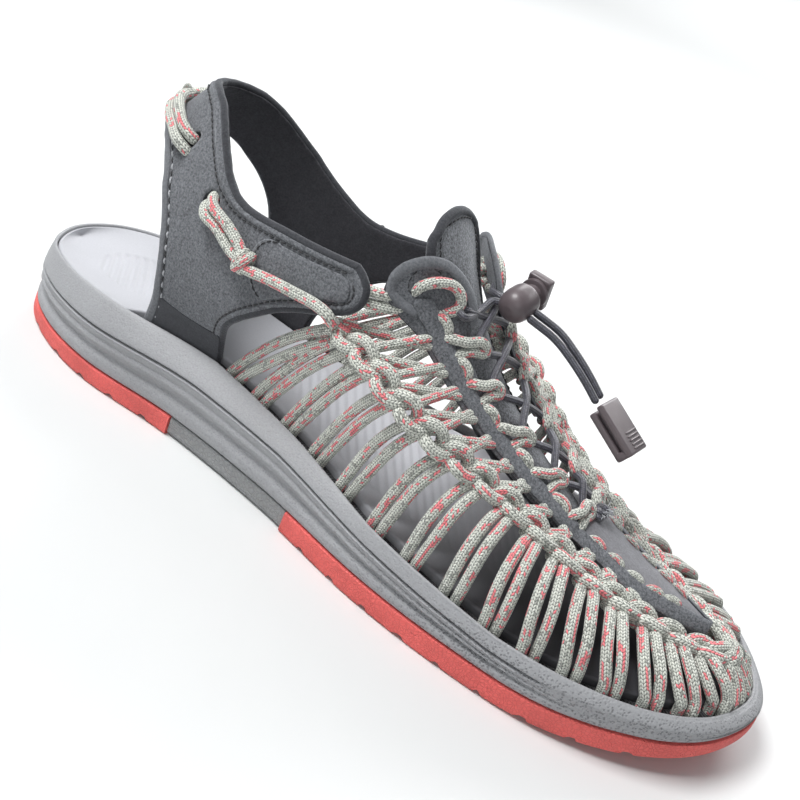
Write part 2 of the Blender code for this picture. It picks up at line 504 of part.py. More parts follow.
def inside(p, poly):
    x, y = p; odd = False
    for (x0, y0), (x1, y1) in zip(poly, poly[1:] + poly[:1]):
        if (y0 > y) != (y1 > y) and x < (x1 - x0) * (y - y0) / (y1 - y0) + x0: odd = not odd
    return odd

def flat_pattern(outline, holes, step):
    pts = [Vector(p) for p in outline]; faces = []
    edges = [(i, (i + 1) % len(outline)) for i in range(len(outline))]
    for h in holes:
        k = len(pts); pts += [Vector(p) for p in h]
        edges += [(k + i, k + (i + 1) % len(h)) for i in range(len(h))]
    a = np.array(outline)
    for sx in np.arange(a[:, 0].min(), a[:, 0].max(), step[0]):
        for sz in np.arange(a[:, 1].min(), a[:, 1].max(), step[1]):
            p = (sx, sz)
            if not inside(p, outline) or any(inside(p, h) for h in holes): continue
            if min((Vector(p) - q).length for q in pts[:len(outline) + sum(len(h) for h in holes)]) < 0.42 * min(step): continue
            pts.append(Vector(p))
    v, e, f, *_ = delaunay_2d_cdt(pts, edges, [], 0, 1e-5)
    f = [t for t in f if inside(sum((v[i] for i in t), Vector((0, 0))) / 3, outline) and not any(inside(sum((v[i] for i in t), Vector((0, 0))) / 3, h) for h in holes)]
    used = sorted({i for t in f for i in t}); new = {i: k for k, i in enumerate(used)}
    return [tuple(v[i]) for i in used], [tuple(new[i] for i in t) for t in f]

def slot(s, z, wide, high, turn=0.0):
    c, d = math.cos(turn), math.sin(turn)
    q = [(math.cos(t) * wide / 2, math.sin(t) * high / 2) for t in np.arange(8) * math.pi / 4]
    return [(s + x * c - y * d, z + x * d + y * c) for x, y in q]

WING_SLOT = (71.5, 81.8)       # x, z of the slot on each wing
BACK_SLOT = {-1: (56.6, 91.6), 1: (55.0, 91.0)}   # where the cord comes out to run round the back
REAR_SLOT = {-1: (42.6, 97.6), 1: (42.6, 97.2)}
holes = []
for side in (-1, 1):
    drop = 0 if side < 0 else -4.5
    holes.append(slot(side * run_of(WING_SLOT[0], WING_SLOT[1] + drop), WING_SLOT[1] + drop, 5.2, 8.6, side * 0.75))
    holes.append(slot(side * run_of(*BACK_SLOT[side]), BACK_SLOT[side][1], 5.0, 8.8, side * 0.2))
fv, ff = flat_pattern(strap_outline(), holes, (7.0, 7.5))
strap = add("heel_strap", [tuple(wrap(s, z)) for s, z in fv], ff, look_=("heel_strap", (0.10, 0.105, 0.115), 0.95))
sol = strap.modifiers.new("wall", "SOLIDIFY"); sol.thickness, sol.offset = WALL * MM, 0.0

# ---------------------------------------------------------------- heel cord, on the strap's outside
def on_strap(x, z, side, off):
    h = 1.5
    p = np.array([x, ankle_y(x, z, side), z])
    a = np.array([x + h, ankle_y(x + h, z, side), z]) - np.array([x - h, ankle_y(x - h, z, side), z])
    b = np.array([x, ankle_y(x, z + h, side), z + h]) - np.array([x, ankle_y(x, z - h, side), z - h])
    n = np.cross(a, b); n /= np.linalg.norm(n)
    if n[1] * side < 0: n = -n
    return p + n * off

def round_tubes(name, paths, dia, look_, res=1, joined=True):
    cu = bpy.data.curves.new(name, "CURVE"); cu.dimensions = "3D"
    cu.bevel_depth, cu.bevel_resolution, cu.use_fill_caps = dia / 2 * MM, res, True
    for path in paths:
        sp = cu.splines.new("POLY"); sp.points.add(len(path) - 1)
        for pt, p in zip(sp.points, path):
            pt.co = (*(Vector([float(c) for c in p]) + SHIFT) * MM, 1)
    tmp = bpy.data.objects.new(name, cu); bpy.context.scene.collection.objects.link(tmp)
    me = bpy.data.meshes.new_from_object(tmp.evaluated_get(bpy.context.evaluated_depsgraph_get()))
    bm = bmesh.new(); bm.from_mesh(me); bmesh.ops.remove_doubles(bm, verts=bm.verts, dist=2e-5)
    bmesh.ops.recalc_face_normals(bm, faces=bm.faces); bm.to_mesh(me); bm.free()
    bpy.data.objects.remove(tmp, do_unlink=True)
    ob = bpy.data.objects.new(name, me); parts.objects.link(ob)
    me.materials.clear(); me.materials.append(material(*look_))
    return ob

def ball(name, at, r, squash=(1, 1, 1)):
    bm = bmesh.new(); bmesh.ops.create_uvsphere(bm, u_segments=10, v_segments=7, radius=r * MM)
    bmesh.ops.scale(bm, vec=squash, verts=bm.verts)
    bmesh.ops.translate(bm, vec=(Vector([float(c) for c in at]) + SHIFT) * MM, verts=bm.verts)
    me = bpy.data.meshes.new(name); bm.to_mesh(me); bm.free()
    ob = bpy.data.objects.new(name, me); cutters.objects.link(ob); ob.hide_render = True; ob.display_type = "WIRE"
    return ob

CORD_LOOK = (0.55, 0.56, 0.52)
OFF = WALL / 2 + GAP + CORD / 2
for side, word in ((-1, "lateral"), (1, "medial")):
    drop = 0.0 if side < 0 else -5.0
    knot = on_strap(95.0, 70.8 + drop, side, OFF + 1.7)
    front = [on_strap(x, z + drop, side, OFF + o) for x, z, o in ((95.0, 70.8, 1.2), (108, 72.4, 0.4), (118, 73.6, 0.3), (126, 74.6, 0.3), (130.6, 74.2, 0.3))]
    single = spaced(spline(front, 24), 8)
    strands = []
    for k, (dx, dz) in enumerate(((0, 0.0), (5.2, 2.6))):
        mid = on_strap(82.5 + 0.75 * dx, 75.2 + drop + 0.9 * dz, side, OFF + 0.5)
        pin = on_strap(WING_SLOT[0] - 0.6 + 0.30 * dx, WING_SLOT[1] - 2.2 + drop + 1.5 * dz, side, OFF - 0.5)
        mouth = on_strap(WING_SLOT[0] + 1.6 + 0.34 * dx, WING_SLOT[1] - 3.6 + drop + 1.45 * dz, side, OFF + 0.3)
        strands.append(spaced(spline([knot, mid, mouth, pin], 24), 7))
    ob = round_tubes("heel_cord_" + word, [single] + strands, CORD - 0.3, ("heel_cord_" + word, CORD_LOOK, 0.8))
    boolean(ob, ball("knot_" + word, knot, 3.7, (1.0, 0.74, 1.0)), "UNION", own=True)
    settle(ob)
    bpy.data.objects.remove(bpy.data.objects["knot_" + word], do_unlink=True)

back = []
for k in (-1, 1):
    z_off = 2.05 * k
    pts = []
    for side in (-1, 1):
        bx, bz = BACK_SLOT[side]
        q = [on_strap(bx + 0.6, bz + z_off, side, OFF - 0.3), on_strap(bx - 2.4, bz + 0.6 + z_off, side, OFF + 0.4),
             on_strap(49.0, 94.6 + z_off, side, OFF + 0.6), on_strap(42.5, 97.0 + z_off, side, OFF + 0.7)]
        pts += q if side < 0 else [np.array([look(ANKLE, 97.6 + z_off, 1) - OFF - 1.2, 0.0, 97.6 + z_off])] + q[::-1]
    back.append(spaced(spline(pts, 60), 17))
bar = round_tubes("heel_cord_back", back, CORD - 0.1, ("heel_cord_back", CORD_LOOK, 0.8))
tie = add("back_tie", *sweep([back[0][8] + np.array([0, -2.5, 0.6]), back[0][8] + np.array([0, 2.5, 0.6])], 4.4, 2.2, (1, 0, 0), sides=4), where=cutters)
tie.data.transform(Matrix.Translation((0.0002, 0, 0.0012)))
boolean(bar, tie, "UNION", own=True); settle(bar); bpy.data.objects.remove(tie, do_unlink=True)

# ---------------------------------------------------------------- elastic lace over the tongue
def lace_turn(k, side):
    x, z = LACE_NEAR[k]
    o, i = EDGES[side]
    y = float(np.interp(x, i[:, 0], i[:, 1])) - side * 2.6
    return np.array([x, y, z])
turns = {s: [lace_turn(k, s) for k in range(len(LACE_NEAR))] for s in (-1, 1)}
def crossing(a, b, lift):
    m = (a + b) / 2 + np.array([0, 0, lift]); return spaced(spline([a, m, b], 20), 6)
paths = []
for k in range(len(LACE_NEAR) - 1):
    for s in (-1, 1):
        paths.append(crossing(turns[s][k], turns[-s][k + 1], 1.2))
paths.append(crossing(turns[-1][-1], turns[1][-1], 0.6))
face = LOCK_AT + Vector((-6.4, 1.0, -1.2))
for s, dy in ((-1, -1.4), (1, 1.9)):
    a = turns[s][0]; b = np.array(face) + np.array([0, dy + 1.0, 0])
    m = np.array([a[0] - (3.0 if s < 0 else 2.6), (a[1] + b[1]) / 2 + s * (1.5 if s < 0 else -0.6), (a[2] + b[2]) / 2 + (0.6 if s < 0 else 0.0)])
    paths.append(spaced(spline([a, m, b], 24), 8))
lace = round_tubes("elastic_lace", paths, LACE, ("elastic_lace", (0.05, 0.052, 0.065), 0.55))
stub = add("lace_stub", *sweep([turns[-1][2] + np.array([0.3, 0.3, 0.2]), turns[-1][2] + np.array([1.4, 0.9, -0.5])], 1.4, 1.4, (0, 0, 1), sides=4), where=cutters)
boolean(lace, stub, "UNION", own=True); settle(lace); bpy.data.objects.remove(stub, do_unlink=True)

# ---------------------------------------------------------------- cord lock with a sprung button
PLASTIC = (0.115, 0.10, 0.105)
turn = LOCK_AXIS.to_track_quat("Z", "X").to_matrix().to_4x4()
def lock_piece(name, build, rough=0.35, where=None):
    bm = bmesh.new(); build(bm)
    me = bpy.data.meshes.new(name); bm.to_mesh(me); bm.free()
    ob = bpy.data.objects.new(name, me)
    ob.matrix_world = Matrix.Translation((LOCK_AT + SHIFT) * MM) @ turn
    (where or parts).objects.link(ob)
    if where is cutters: ob.hide_render = True; ob.display_type = "WIRE"
    else: me.materials.append(material(name, PLASTIC, rough))
    return ob

def turned(bm, profile, seg=16):
    """a closed profile of radius and height turned about the axis"""
    rings = []
    for r, z in profile:
        rings.append([bm.verts.new((r * math.cos(2 * math.pi * k / seg) * MM, r * math.sin(2 * math.pi * k / seg) * MM, z * MM)) for k in range(seg)])
    for a, b in zip(rings, rings[1:]):
        for k in range(seg): bm.faces.new((a[k], a[(k + 1) % seg], b[(k + 1) % seg], b[k]))
    bm.faces.new(rings[0][::-1]); bm.faces.new(rings[-1])

BODY = [(1.6, -5.0), (3.4, -4.3), (4.8, -2.6), (5.3, -0.4), (5.3, 5.0), (3.7, 5.6), (3.6, 5.6), (3.6, -1.4)]
lock_piece("lock_body", lambda bm: turned(bm, BODY))
button = lock_piece("lock_button", lambda bm: turned(bm, [(3.2, -1.0 + PRESS + 0.6), (3.2, 9.2), (4.2, 9.2), (4.6, 9.6), (4.6, 10.9), (3.4, 11.2)]))
def slab(bm):
    bmesh.ops.create_cube(bm, size=1.0)
    bmesh.ops.scale(bm, vec=Vector((10.6, 8.0, 3.4)) * MM, verts=bm.verts)
    bmesh.ops.translate(bm, vec=Vector((0, 0, 12.2)) * MM, verts=bm.verts)
    bmesh.ops.bevel(bm, geom=list(bm.edges), offset=0.9 * MM, segments=2, affect="EDGES")
pad = lock_piece("button_pad", slab, where=cutters)
boolean(button, pad, "UNION"); settle(button); bpy.data.objects.remove(pad, do_unlink=True)

# ---------------------------------------------------------------- free ends of the lace and their clip
for k, word in ((0, "a"), (1, "b")):
    q = np.array(TAIL, float); q[:, 1] += (-1.35 if k == 0 else 1.35) * np.linspace(1, 0.98, len(q)); q[:, 2] += (-0.9 if k == 0 else 0.9) * np.linspace(1, 0.5, len(q))
    q[0] = np.array(LOCK_AT) + np.array([5.3 + GAP + 0.6, 1.2 + 1.45 * (2 * k - 1), -0.8 + 0.9 * (2 * k - 1) * 0.8])
    round_tubes("lace_tail_" + word, [spaced(spline(q, 40), 9)], LACE, ("lace_tail_" + word, (0.05, 0.052, 0.065), 0.55))

cz = CLIP_DIR.to_track_quat("Z", "Y").to_matrix().to_4x4()
bm = bmesh.new()
bmesh.ops.create_cube(bm, size=1.0)
bmesh.ops.scale(bm, vec=Vector((11.0, 5.8, 17.5)) * MM, verts=bm.verts)
me = bpy.data.meshes.new("end_clip"); bm.to_mesh(me); bm.free()
clip = bpy.data.objects.new("end_clip", me)
clip.matrix_world = Matrix.Translation((CLIP_AT + SHIFT) * MM) @ cz
parts.objects.link(clip); me.materials.append(material("end_clip", PLASTIC, 0.35))
b = clip.modifiers.new("round", "BEVEL"); b.width, b.segments = 1.8 * MM, 2
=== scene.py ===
"""Looks of the closed-toe woven cord sandal, right foot. Sizes in mm, +X to the toe, +Z up; everything is placed in the frame's metres at the end."""
import bpy, bmesh, math
import numpy as np
from mathutils import Vector, Matrix
from mathutils.geometry import delaunay_2d_cdt


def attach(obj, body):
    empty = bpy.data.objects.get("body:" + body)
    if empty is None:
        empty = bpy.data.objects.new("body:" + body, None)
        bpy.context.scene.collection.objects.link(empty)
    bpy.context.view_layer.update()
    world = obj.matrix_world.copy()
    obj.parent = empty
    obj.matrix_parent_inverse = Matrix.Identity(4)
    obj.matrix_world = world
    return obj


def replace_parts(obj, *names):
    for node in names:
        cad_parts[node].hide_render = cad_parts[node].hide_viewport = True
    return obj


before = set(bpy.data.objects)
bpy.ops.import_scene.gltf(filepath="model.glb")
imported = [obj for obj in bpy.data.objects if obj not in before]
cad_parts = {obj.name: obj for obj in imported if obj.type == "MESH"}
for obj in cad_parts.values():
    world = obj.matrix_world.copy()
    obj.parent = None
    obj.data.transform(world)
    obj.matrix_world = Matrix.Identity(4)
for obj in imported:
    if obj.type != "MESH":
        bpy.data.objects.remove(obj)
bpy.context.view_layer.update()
RNG = np.random.default_rng(7)

# ---------------------------------------------------------------- sizes, in mm
MM = 0.001
L = 290.0
TOE_Y = 4.0
GAP = 0.35
CORD = 3.7
LACE = 2.4
WALL = 2.4
PANEL = 1.9
TONGUE = 3.0
HEEL_END, ARCH_END = 87.0, 141.0
SHIFT = np.array([-L / 2, -1.0, 0.0])

OUTLINE = [  # x/L, lateral half width, medial half width
    (0.020, 17.5, 16.5), (0.070, 28.6, 27.8), (0.160, 36.2, 33.8), (0.300, 34.8, 31.6),
    (0.450, 38.4, 33.0), (0.600, 46.0, 42.0), (0.720, 47.2, 48.0), (0.830, 43.8, 48.5),
    (0.920, 33.0, 40.5), (0.975, 17.8, 23.5)]
RIM = [  # x/L, bevel inset, rim z, groove z, foot of the midsole above the tread
    (0.00, 2.5, 27.8, 19.0, 5.0), (0.15, 5.0, 30.6, 21.0, 6.5), (0.32, 8.2, 30.8, 23.6, 7.2),
    (0.45, 6.0, 28.2, 23.0, 7.5), (0.58, 2.6, 24.6, 19.6, 7.6), (0.75, 2.0, 19.9, 15.4, 7.6),
    (0.90, 3.2, 19.6, 15.6, 7.0), (1.00, 4.4, 19.6, 16.6, 4.6)]
CHAIN = [  # x, lateral z, lateral y, medial y, medial z
    (133, 70.6, -32.5, 33.0, 61.0), (140, 70.5, -34.5, 35.0, 62.5), (150, 68.0, -37.5, 37.0, 63.0), (160, 64.5, -38.5, 38.0, 61.5),
    (170, 60.0, -36.5, 36.5, 58.5), (180, 55.0, -32.5, 32.0, 54.5), (190, 50.3, -28.0, 27.0, 50.3), (200, 46.2, -24.6, 23.0, 46.2),
    (210, 42.4, -22.0, 20.5, 42.4), (220, 39.6, -20.6, 18.5, 39.6), (230, 36.6, -19.0, 16.0, 36.6), (240, 33.6, -16.0, 13.5, 33.6),
    (250, 31.2, -11.5, 11.5, 31.2), (260, 29.2, -7.6, 9.5, 29.2), (269, 28.2, -2.5, 7.0, 28.2)]
RIDGE = [(141, 109), (150, 97), (160, 84), (170, 74), (180, 66), (191, 58.7), (202, 52.5),
         (217, 45.6), (230, 41.3), (243, 38.0), (255, 35.4), (265, 33.0), (275, 30.5)]
LINKS = [  # base x in the channel, link x on the chain, hole x under the eyestay
    (99.0, 137.0, 151), (111.5, 141, 157), (126, 149.5, 164), (140, 160, 173), (154.5, 170, 182), (170, 181, 191.5),
    (184.5, 191, 200), (200, 201, 209), (214.5, 210.5, 217.5), (227.5, 219.5, 226), (240, 229.5, 235), (251.5, 239, 243.5),
    (262.5, 249, 252.5), (271.5, 257.5, 260), (278.5, 265, 266)]
ARM = [  # one section of the eyestay arm: outer x, y, z, inner x, y, z (lateral side)
    (142.6, -22.6, 94.6, 147.2, -17.4, 96.6), (140.2, -26.8, 91.2, 151.8, -12.6, 96.0), (140.0, -29.5, 86.0, 158.0, -8.6, 91.5), (145.5, -27.6, 81.0, 161.5, -8.2, 85.6),
    (153.0, -24.0, 76.5, 163.8, -10.2, 79.6), (160.0, -22.3, 71.3, 167.5, -12.2, 74.2), (168.5, -21.0, 65.0, 173.8, -12.2, 67.6),
    (178.5, -19.5, 58.8, 182.3, -11.6, 61.3), (190.5, -17.8, 52.6, 193.4, -10.2, 55.2), (203.5, -16.0, 47.0, 206.0, -8.4, 49.6),
    (216.5, -14.6, 42.2, 218.2, -6.6, 44.6)]
VAMP = [  # outer x, outer y, outer z, panel from the throat to the toe (lateral side)
    (228.0, -13.0, 38.8), (240.0, -11.8, 35.6), (250.0, -8.4, 33.2), (258.0, -4.4, 31.6), (264.5, -0.6, 30.6)]
ANKLE_D = [(0, 0), (1, 5), (4, 9.5), (9, 14), (17, 18.5), (27, 22.5), (40, 26), (60, 29), (75, 30.5), (100, 32.5), (120, 33)]
ANKLE = [  # z, back x, lateral flare, medial flare
    (25, 25, 1.5, 1.5), (45, 25, 2.5, 1.0), (60, 26, 2.5, 0.5), (75, 29, 1.5, 0.5), (86, 34.2, 0.3, 0), (96, 41.6, -0.5, 0), (105, 48.8, -1, 0), (115, 56.6, -1.5, 0)]
STRAP_LATERAL = {
    "rear": [(62.0, 26.0), (63.8, 39.1), (63.0, 51.8), (60.8, 60.7), (57.0, 69.0), (51.4, 78.3), (45.6, 84.0), (39.8, 86.6)],
    "front": [(92.2, 26.0), (92.6, 38.0), (95.2, 46.9), (100.2, 53.3), (106.0, 58.6), (112.2, 63.8), (119.9, 68.4), (127.0, 71.8), (133.2, 75.4)],
    "end": [(136.6, 78.4), (138.0, 81.6), (137.8, 85.0), (135.9, 87.9)],
    "top": [(132.2, 89.9), (118.4, 87.8), (103.9, 86.4), (95.9, 85.6), (87.9, 85.7), (82.6, 87.6), (78.0, 91.0), (72.2, 96.6), (66.6, 102.0), (60.6, 105.8), (54.2, 106.6)]}
STRAP_MEDIAL = {
    "rear": [(65.0, 26.0), (66.6, 42.0), (66.0, 52.0), (64.0, 61.5), (60.0, 69.5), (53.0, 77.0), (46.5, 83.0), (39.5, 86.6)],
    "front": [(95.8, 26.0), (95.8, 36.0), (97.6, 43.5), (101.3, 49.5), (106.5, 54.0), (112.2, 58.5), (119.9, 61.9), (127.0, 64.4), (133.2, 66.6)],
    "end": [(136.2, 69.6), (137.0, 73.6), (135.4, 78.5)],
    "top": [(130.0, 80.5), (118.4, 77.5), (109.0, 75.8), (99.4, 75.8), (90.2, 79.3), (80.9, 84.6), (75.0, 89.0), (68.6, 93.6), (62.6, 98.6), (58.0, 101.8), (52.6, 104.4)]}
STRAP_BACK = (39.0, 105.4, 35.0, 86.8)
LACE_NEAR = [(165.5, 80.0), (172.5, 70.5), (182.5, 63.5), (194.0, 57.0), (206.0, 51.2), (217.5, 46.6)]
LOCK_AT, LOCK_AXIS = np.array([168.5, 3.0, 89.0]), np.array(Vector((0.05, 0.97, 0.22)).normalized())
TAIL = [(176.5, 7.4, 87.0), (183.0, 7.2, 85.4), (190.0, 6.8, 82.6), (197.0, 6.2, 79.0), (202.5, 5.6, 75.6)]
CLIP_AT, CLIP_DIR = np.array([212.3, 4.6, 70.6]), np.array(Vector((0.88, -0.09, -0.465)).normalized())
WING_SLOT = (76.0, 80.0)
BACK_SLOT = {-1: (56.8, 89.6), 1: (55.4, 89.6)}

# ---------------------------------------------------------------- small helpers
def col(tab, x, c):
    t = np.array(tab, float)
    return np.interp(np.asarray(x, float) / L, t[:, 0], t[:, c])

def look(tab, x, c):
    t = np.array(tab, float)
    return np.interp(np.asarray(x, float), t[:, 0], t[:, c])

def spline(points, n, closed=False):
    """centripetal Catmull-Rom through the points"""
    p = np.array(points, float)
    p = np.vstack([p[-1], p, p[0], p[1]]) if closed else np.vstack([2 * p[0] - p[1], p, 2 * p[-1] - p[-2]])
    seg, out = len(p) - 3, []
    for i in range(seg):
        a, b, c, d = p[i:i + 4]
        t = np.cumsum([0] + [max(np.linalg.norm(v), 1e-6) ** 0.5 for v in (b - a, c - b, d - c)])
        for s in np.linspace(t[1], t[2], n * (i + 1) // seg - n * i // seg, endpoint=False):
            A = [(t[k + 1] - s) / (t[k + 1] - t[k]) * q + (s - t[k]) / (t[k + 1] - t[k]) * r for k, (q, r) in enumerate(((a, b), (b, c), (c, d)))]
            B = [(t[k + 2] - s) / (t[k + 2] - t[k]) * A[k] + (s - t[k]) / (t[k + 2] - t[k]) * A[k + 1] for k in (0, 1)]
            out.append((t[2] - s) / (t[2] - t[1]) * B[0] + (s - t[1]) / (t[2] - t[1]) * B[1])
    if not closed:
        out.append(p[-2])
    return np.array(out)

def spaced(path, n):
    q = np.array(path, float)
    d = np.r_[0, np.cumsum(np.linalg.norm(np.diff(q, axis=0), axis=1))]
    return np.stack([np.interp(np.linspace(0, d[-1], n), d, q[:, k]) for k in range(q.shape[1])], -1)

def curve(points, n=24):
    """a smooth curve through the points, evenly spaced"""
    return spaced(spline(points, max(40, 3 * n)), n)

def length_of(p):
    return float(np.linalg.norm(np.diff(np.asarray(p), axis=0), axis=1).sum())

def smooth(t):
    t = np.clip(t, 0, 1)
    return t * t * (3 - 2 * t)

def unit(v):
    v = np.asarray(v, float)
    return v / np.maximum(np.linalg.norm(v, axis=-1, keepdims=True), 1e-12)

def bump_at(x, c, w):
    return np.exp(-((np.asarray(x, float) - c) / w) ** 2)

# ---------------------------------------------------------------- meshes
class Pile:
    """faces of many small shapes that become one piece"""
    def __init__(self):
        self.v, self.f, self.uv, self.n = [], [], [], 0
    def put(self, shape):
        v, f, uv = shape
        self.v.append(np.asarray(v, float))
        self.f += [tuple(i + self.n for i in face) for face in f]
        self.uv += uv
        self.n += len(v)
        return self

def frames(p, up=None):
    """tangents and two cross directions along a path"""
    n = len(p)
    t = unit(np.gradient(p, axis=0))
    if up is not None:
        up = np.broadcast_to(np.array(up, float), (n, 3))
        u = unit(up - (up * t).sum(1, keepdims=True) * t)
        return t, np.cross(t, u), u
    a = np.array([0, 0, 1.0]) if abs(t[0][2]) < 0.8 else np.array([1.0, 0, 0])
    u = np.zeros_like(p); u[0] = unit(a - (a @ t[0]) * t[0])
    for i in range(1, n):
        w = u[i - 1] - (u[i - 1] @ t[i]) * t[i]
        u[i] = unit(w)
    return t, np.cross(t, u), u

def tube(path, dia, sides=12, up=None, flat=1.0, cap=3, twist=0.0, offset=None):
    """a round cord; flat squeezes it along up; uv is round the cord and mm along it"""
    p = np.array(path, float); n = len(p)
    t, s, u = frames(p, up)
    r = np.broadcast_to(np.asarray(dia, float) / 2, n).copy()
    flat = np.broadcast_to(np.asarray(flat, float), n).copy()
    if cap:   # rounded ends
        k = np.linspace(0, math.pi / 2, cap + 1)[:-1]
        a, b = p[0], p[-1]
        head = np.array([a - t[0] * r[0] * math.cos(q) * 0.9 for q in k]); tail = np.array([b + t[-1] * r[-1] * math.cos(q) * 0.9 for q in k[::-1]])
        hr, tr = r[0] * np.sin(np.maximum(k, 0.16)), r[-1] * np.sin(np.maximum(k[::-1], 0.16))
        p = np.vstack([head, p, tail]); s = np.vstack([s[:1]] * cap + [s] + [s[-1:]] * cap); u = np.vstack([u[:1]] * cap + [u] + [u[-1:]] * cap)
        r = np.r_[hr, r, tr]; flat = np.r_[np.full(cap, flat[0]), flat, np.full(cap, flat[-1])]; n = len(p)
    ang = np.arange(sides) * 2 * math.pi / sides
    c, d = np.cos(ang), np.sin(ang)
    v = p[:, None] + r[:, None, None] * (c[None, :, None] * s[:, None] + (flat[:, None] * d[None])[..., None] * u[:, None])
    along = np.r_[0, np.cumsum(np.linalg.norm(np.diff(p, axis=0), axis=1))]
    o = offset if offset is not None else (RNG.random(), RNG.random() * 400)
    f, uv = [], []
    for i in range(n - 1):
        for j in range(sides):
            f.append((i * sides + j, i * sides + (j + 1) % sides, (i + 1) * sides + (j + 1) % sides, (i + 1) * sides + j))
            a0, a1, b0, b1 = o[0] + j / sides, o[0] + (j + 1) / sides, o[1] + along[i], o[1] + along[i + 1]
            uv += [(a0, b0), (a1, b0), (a1, b1), (a0, b1)]
    f += [tuple(range(sides))[::-1], tuple((n - 1) * sides + j for j in range(sides))]
    uv += [(o[0], o[1])] * (2 * sides)
    return v.reshape(-1, 3), f, uv

def strip(path, wide, thick, up, n_round=3, uv0=0.0):
    """a flat band with rounded edges, its flat side facing up"""
    p = np.array(path, float); n = len(p)
    wide, thick = np.broadcast_to(np.asarray(wide, float), n), np.broadcast_to(np.asarray(thick, float), n)
    t, s, u = frames(p, up)
    sec = []
    for side in (1, -1):
        for a in np.linspace(-math.pi / 2, math.pi / 2, n_round * 2 + 1):
            sec.append((side, math.cos(a), math.sin(a) * side))
    m = len(sec)
    v = np.zeros((n, m, 3))
    for j, (sd, ca, sa) in enumerate(sec):
        e = thick / 2
        v[:, j] = p + s * (sd * (wide / 2 - e + e * ca))[:, None] + u * (e * sa)[:, None]
    along = np.r_[0, np.cumsum(np.linalg.norm(np.diff(p, axis=0), axis=1))] + uv0
    f, uv = [], []
    for i in range(n - 1):
        for j in range(m):
            f.append((i * m + j, i * m + (j + 1) % m, (i + 1) * m + (j + 1) % m, (i + 1) * m + j))
            uv += [(j / m, along[i]), ((j + 1) / m, along[i]), ((j + 1) / m, along[i + 1]), (j / m, along[i + 1])]
    f += [tuple(range(m))[::-1], tuple((n - 1) * m + j for j in range(m))]
    uv += [(0, 0)] * (2 * m)
    return v.reshape(-1, 3), f, uv

def blob(at, r, scale=(1, 1, 1), axes=None, seg=16, rings=10):
    """a rounded lump"""
    v, f = [], []
    A = np.eye(3) if axes is None else np.array(axes, float)
    for i in range(1, rings):
        b = math.pi * i / rings
        for j in range(seg):
            a = 2 * math.pi * j / seg
            q = np.array([math.sin(b) * math.cos(a) * scale[0], math.sin(b) * math.sin(a) * scale[1], math.cos(b) * scale[2]]) * r
            v.append(np.array(at) + q @ A)
    top, bot = len(v), len(v) + 1
    v += [np.array(at) + np.array([0, 0, r * scale[2]]) @ A, np.array(at) - np.array([0, 0, r * scale[2]]) @ A]
    for i in range(rings - 2):
        for j in range(seg):
            f.append((i * seg + j, (i + 1) * seg + j, (i + 1) * seg + (j + 1) % seg, i * seg + (j + 1) % seg))
    for j in range(seg):
        f.append((top, j, (j + 1) % seg)); f.append((bot, (rings - 2) * seg + (j + 1) % seg, (rings - 2) * seg + j))
    uv = [(0.0, 0.0)] * sum(len(x) for x in f)
    return np.array(v), f, uv

def piece(name, shape, mat, body="shoe", smooth_deg=60, weld=0.0, fix=True):
    """one finished mesh in the frame's metres, riding on its body"""
    if isinstance(shape, Pile): v, f, uv = np.vstack(shape.v), shape.f, shape.uv
    elif len(shape) == 3: v, f, uv = shape
    else: (v, f), uv = shape, None
    v = (np.asarray(v, float) + SHIFT) * MM
    me = bpy.data.meshes.new(name)
    me.from_pydata(v.tolist(), [], f)
    if uv:
        lay = me.uv_layers.new(name="UVMap")
        if len(lay.data) == len(uv): lay.data.foreach_set("uv", np.array(uv, np.float32).ravel())
    me.validate()
    if weld or fix:
        bm = bmesh.new(); bm.from_mesh(me)
        if weld: bmesh.ops.remove_doubles(bm, verts=bm.verts, dist=weld * MM)
        if fix: bmesh.ops.recalc_face_normals(bm, faces=bm.faces)
        bm.to_mesh(me); bm.free()
    me.shade_smooth()
    if smooth_deg: me.set_sharp_from_angle(angle=math.radians(smooth_deg))
    ob = bpy.data.objects.new(name, me)
    bpy.context.scene.collection.objects.link(ob)
    me.materials.append(mat)
    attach(ob, body)
    return ob

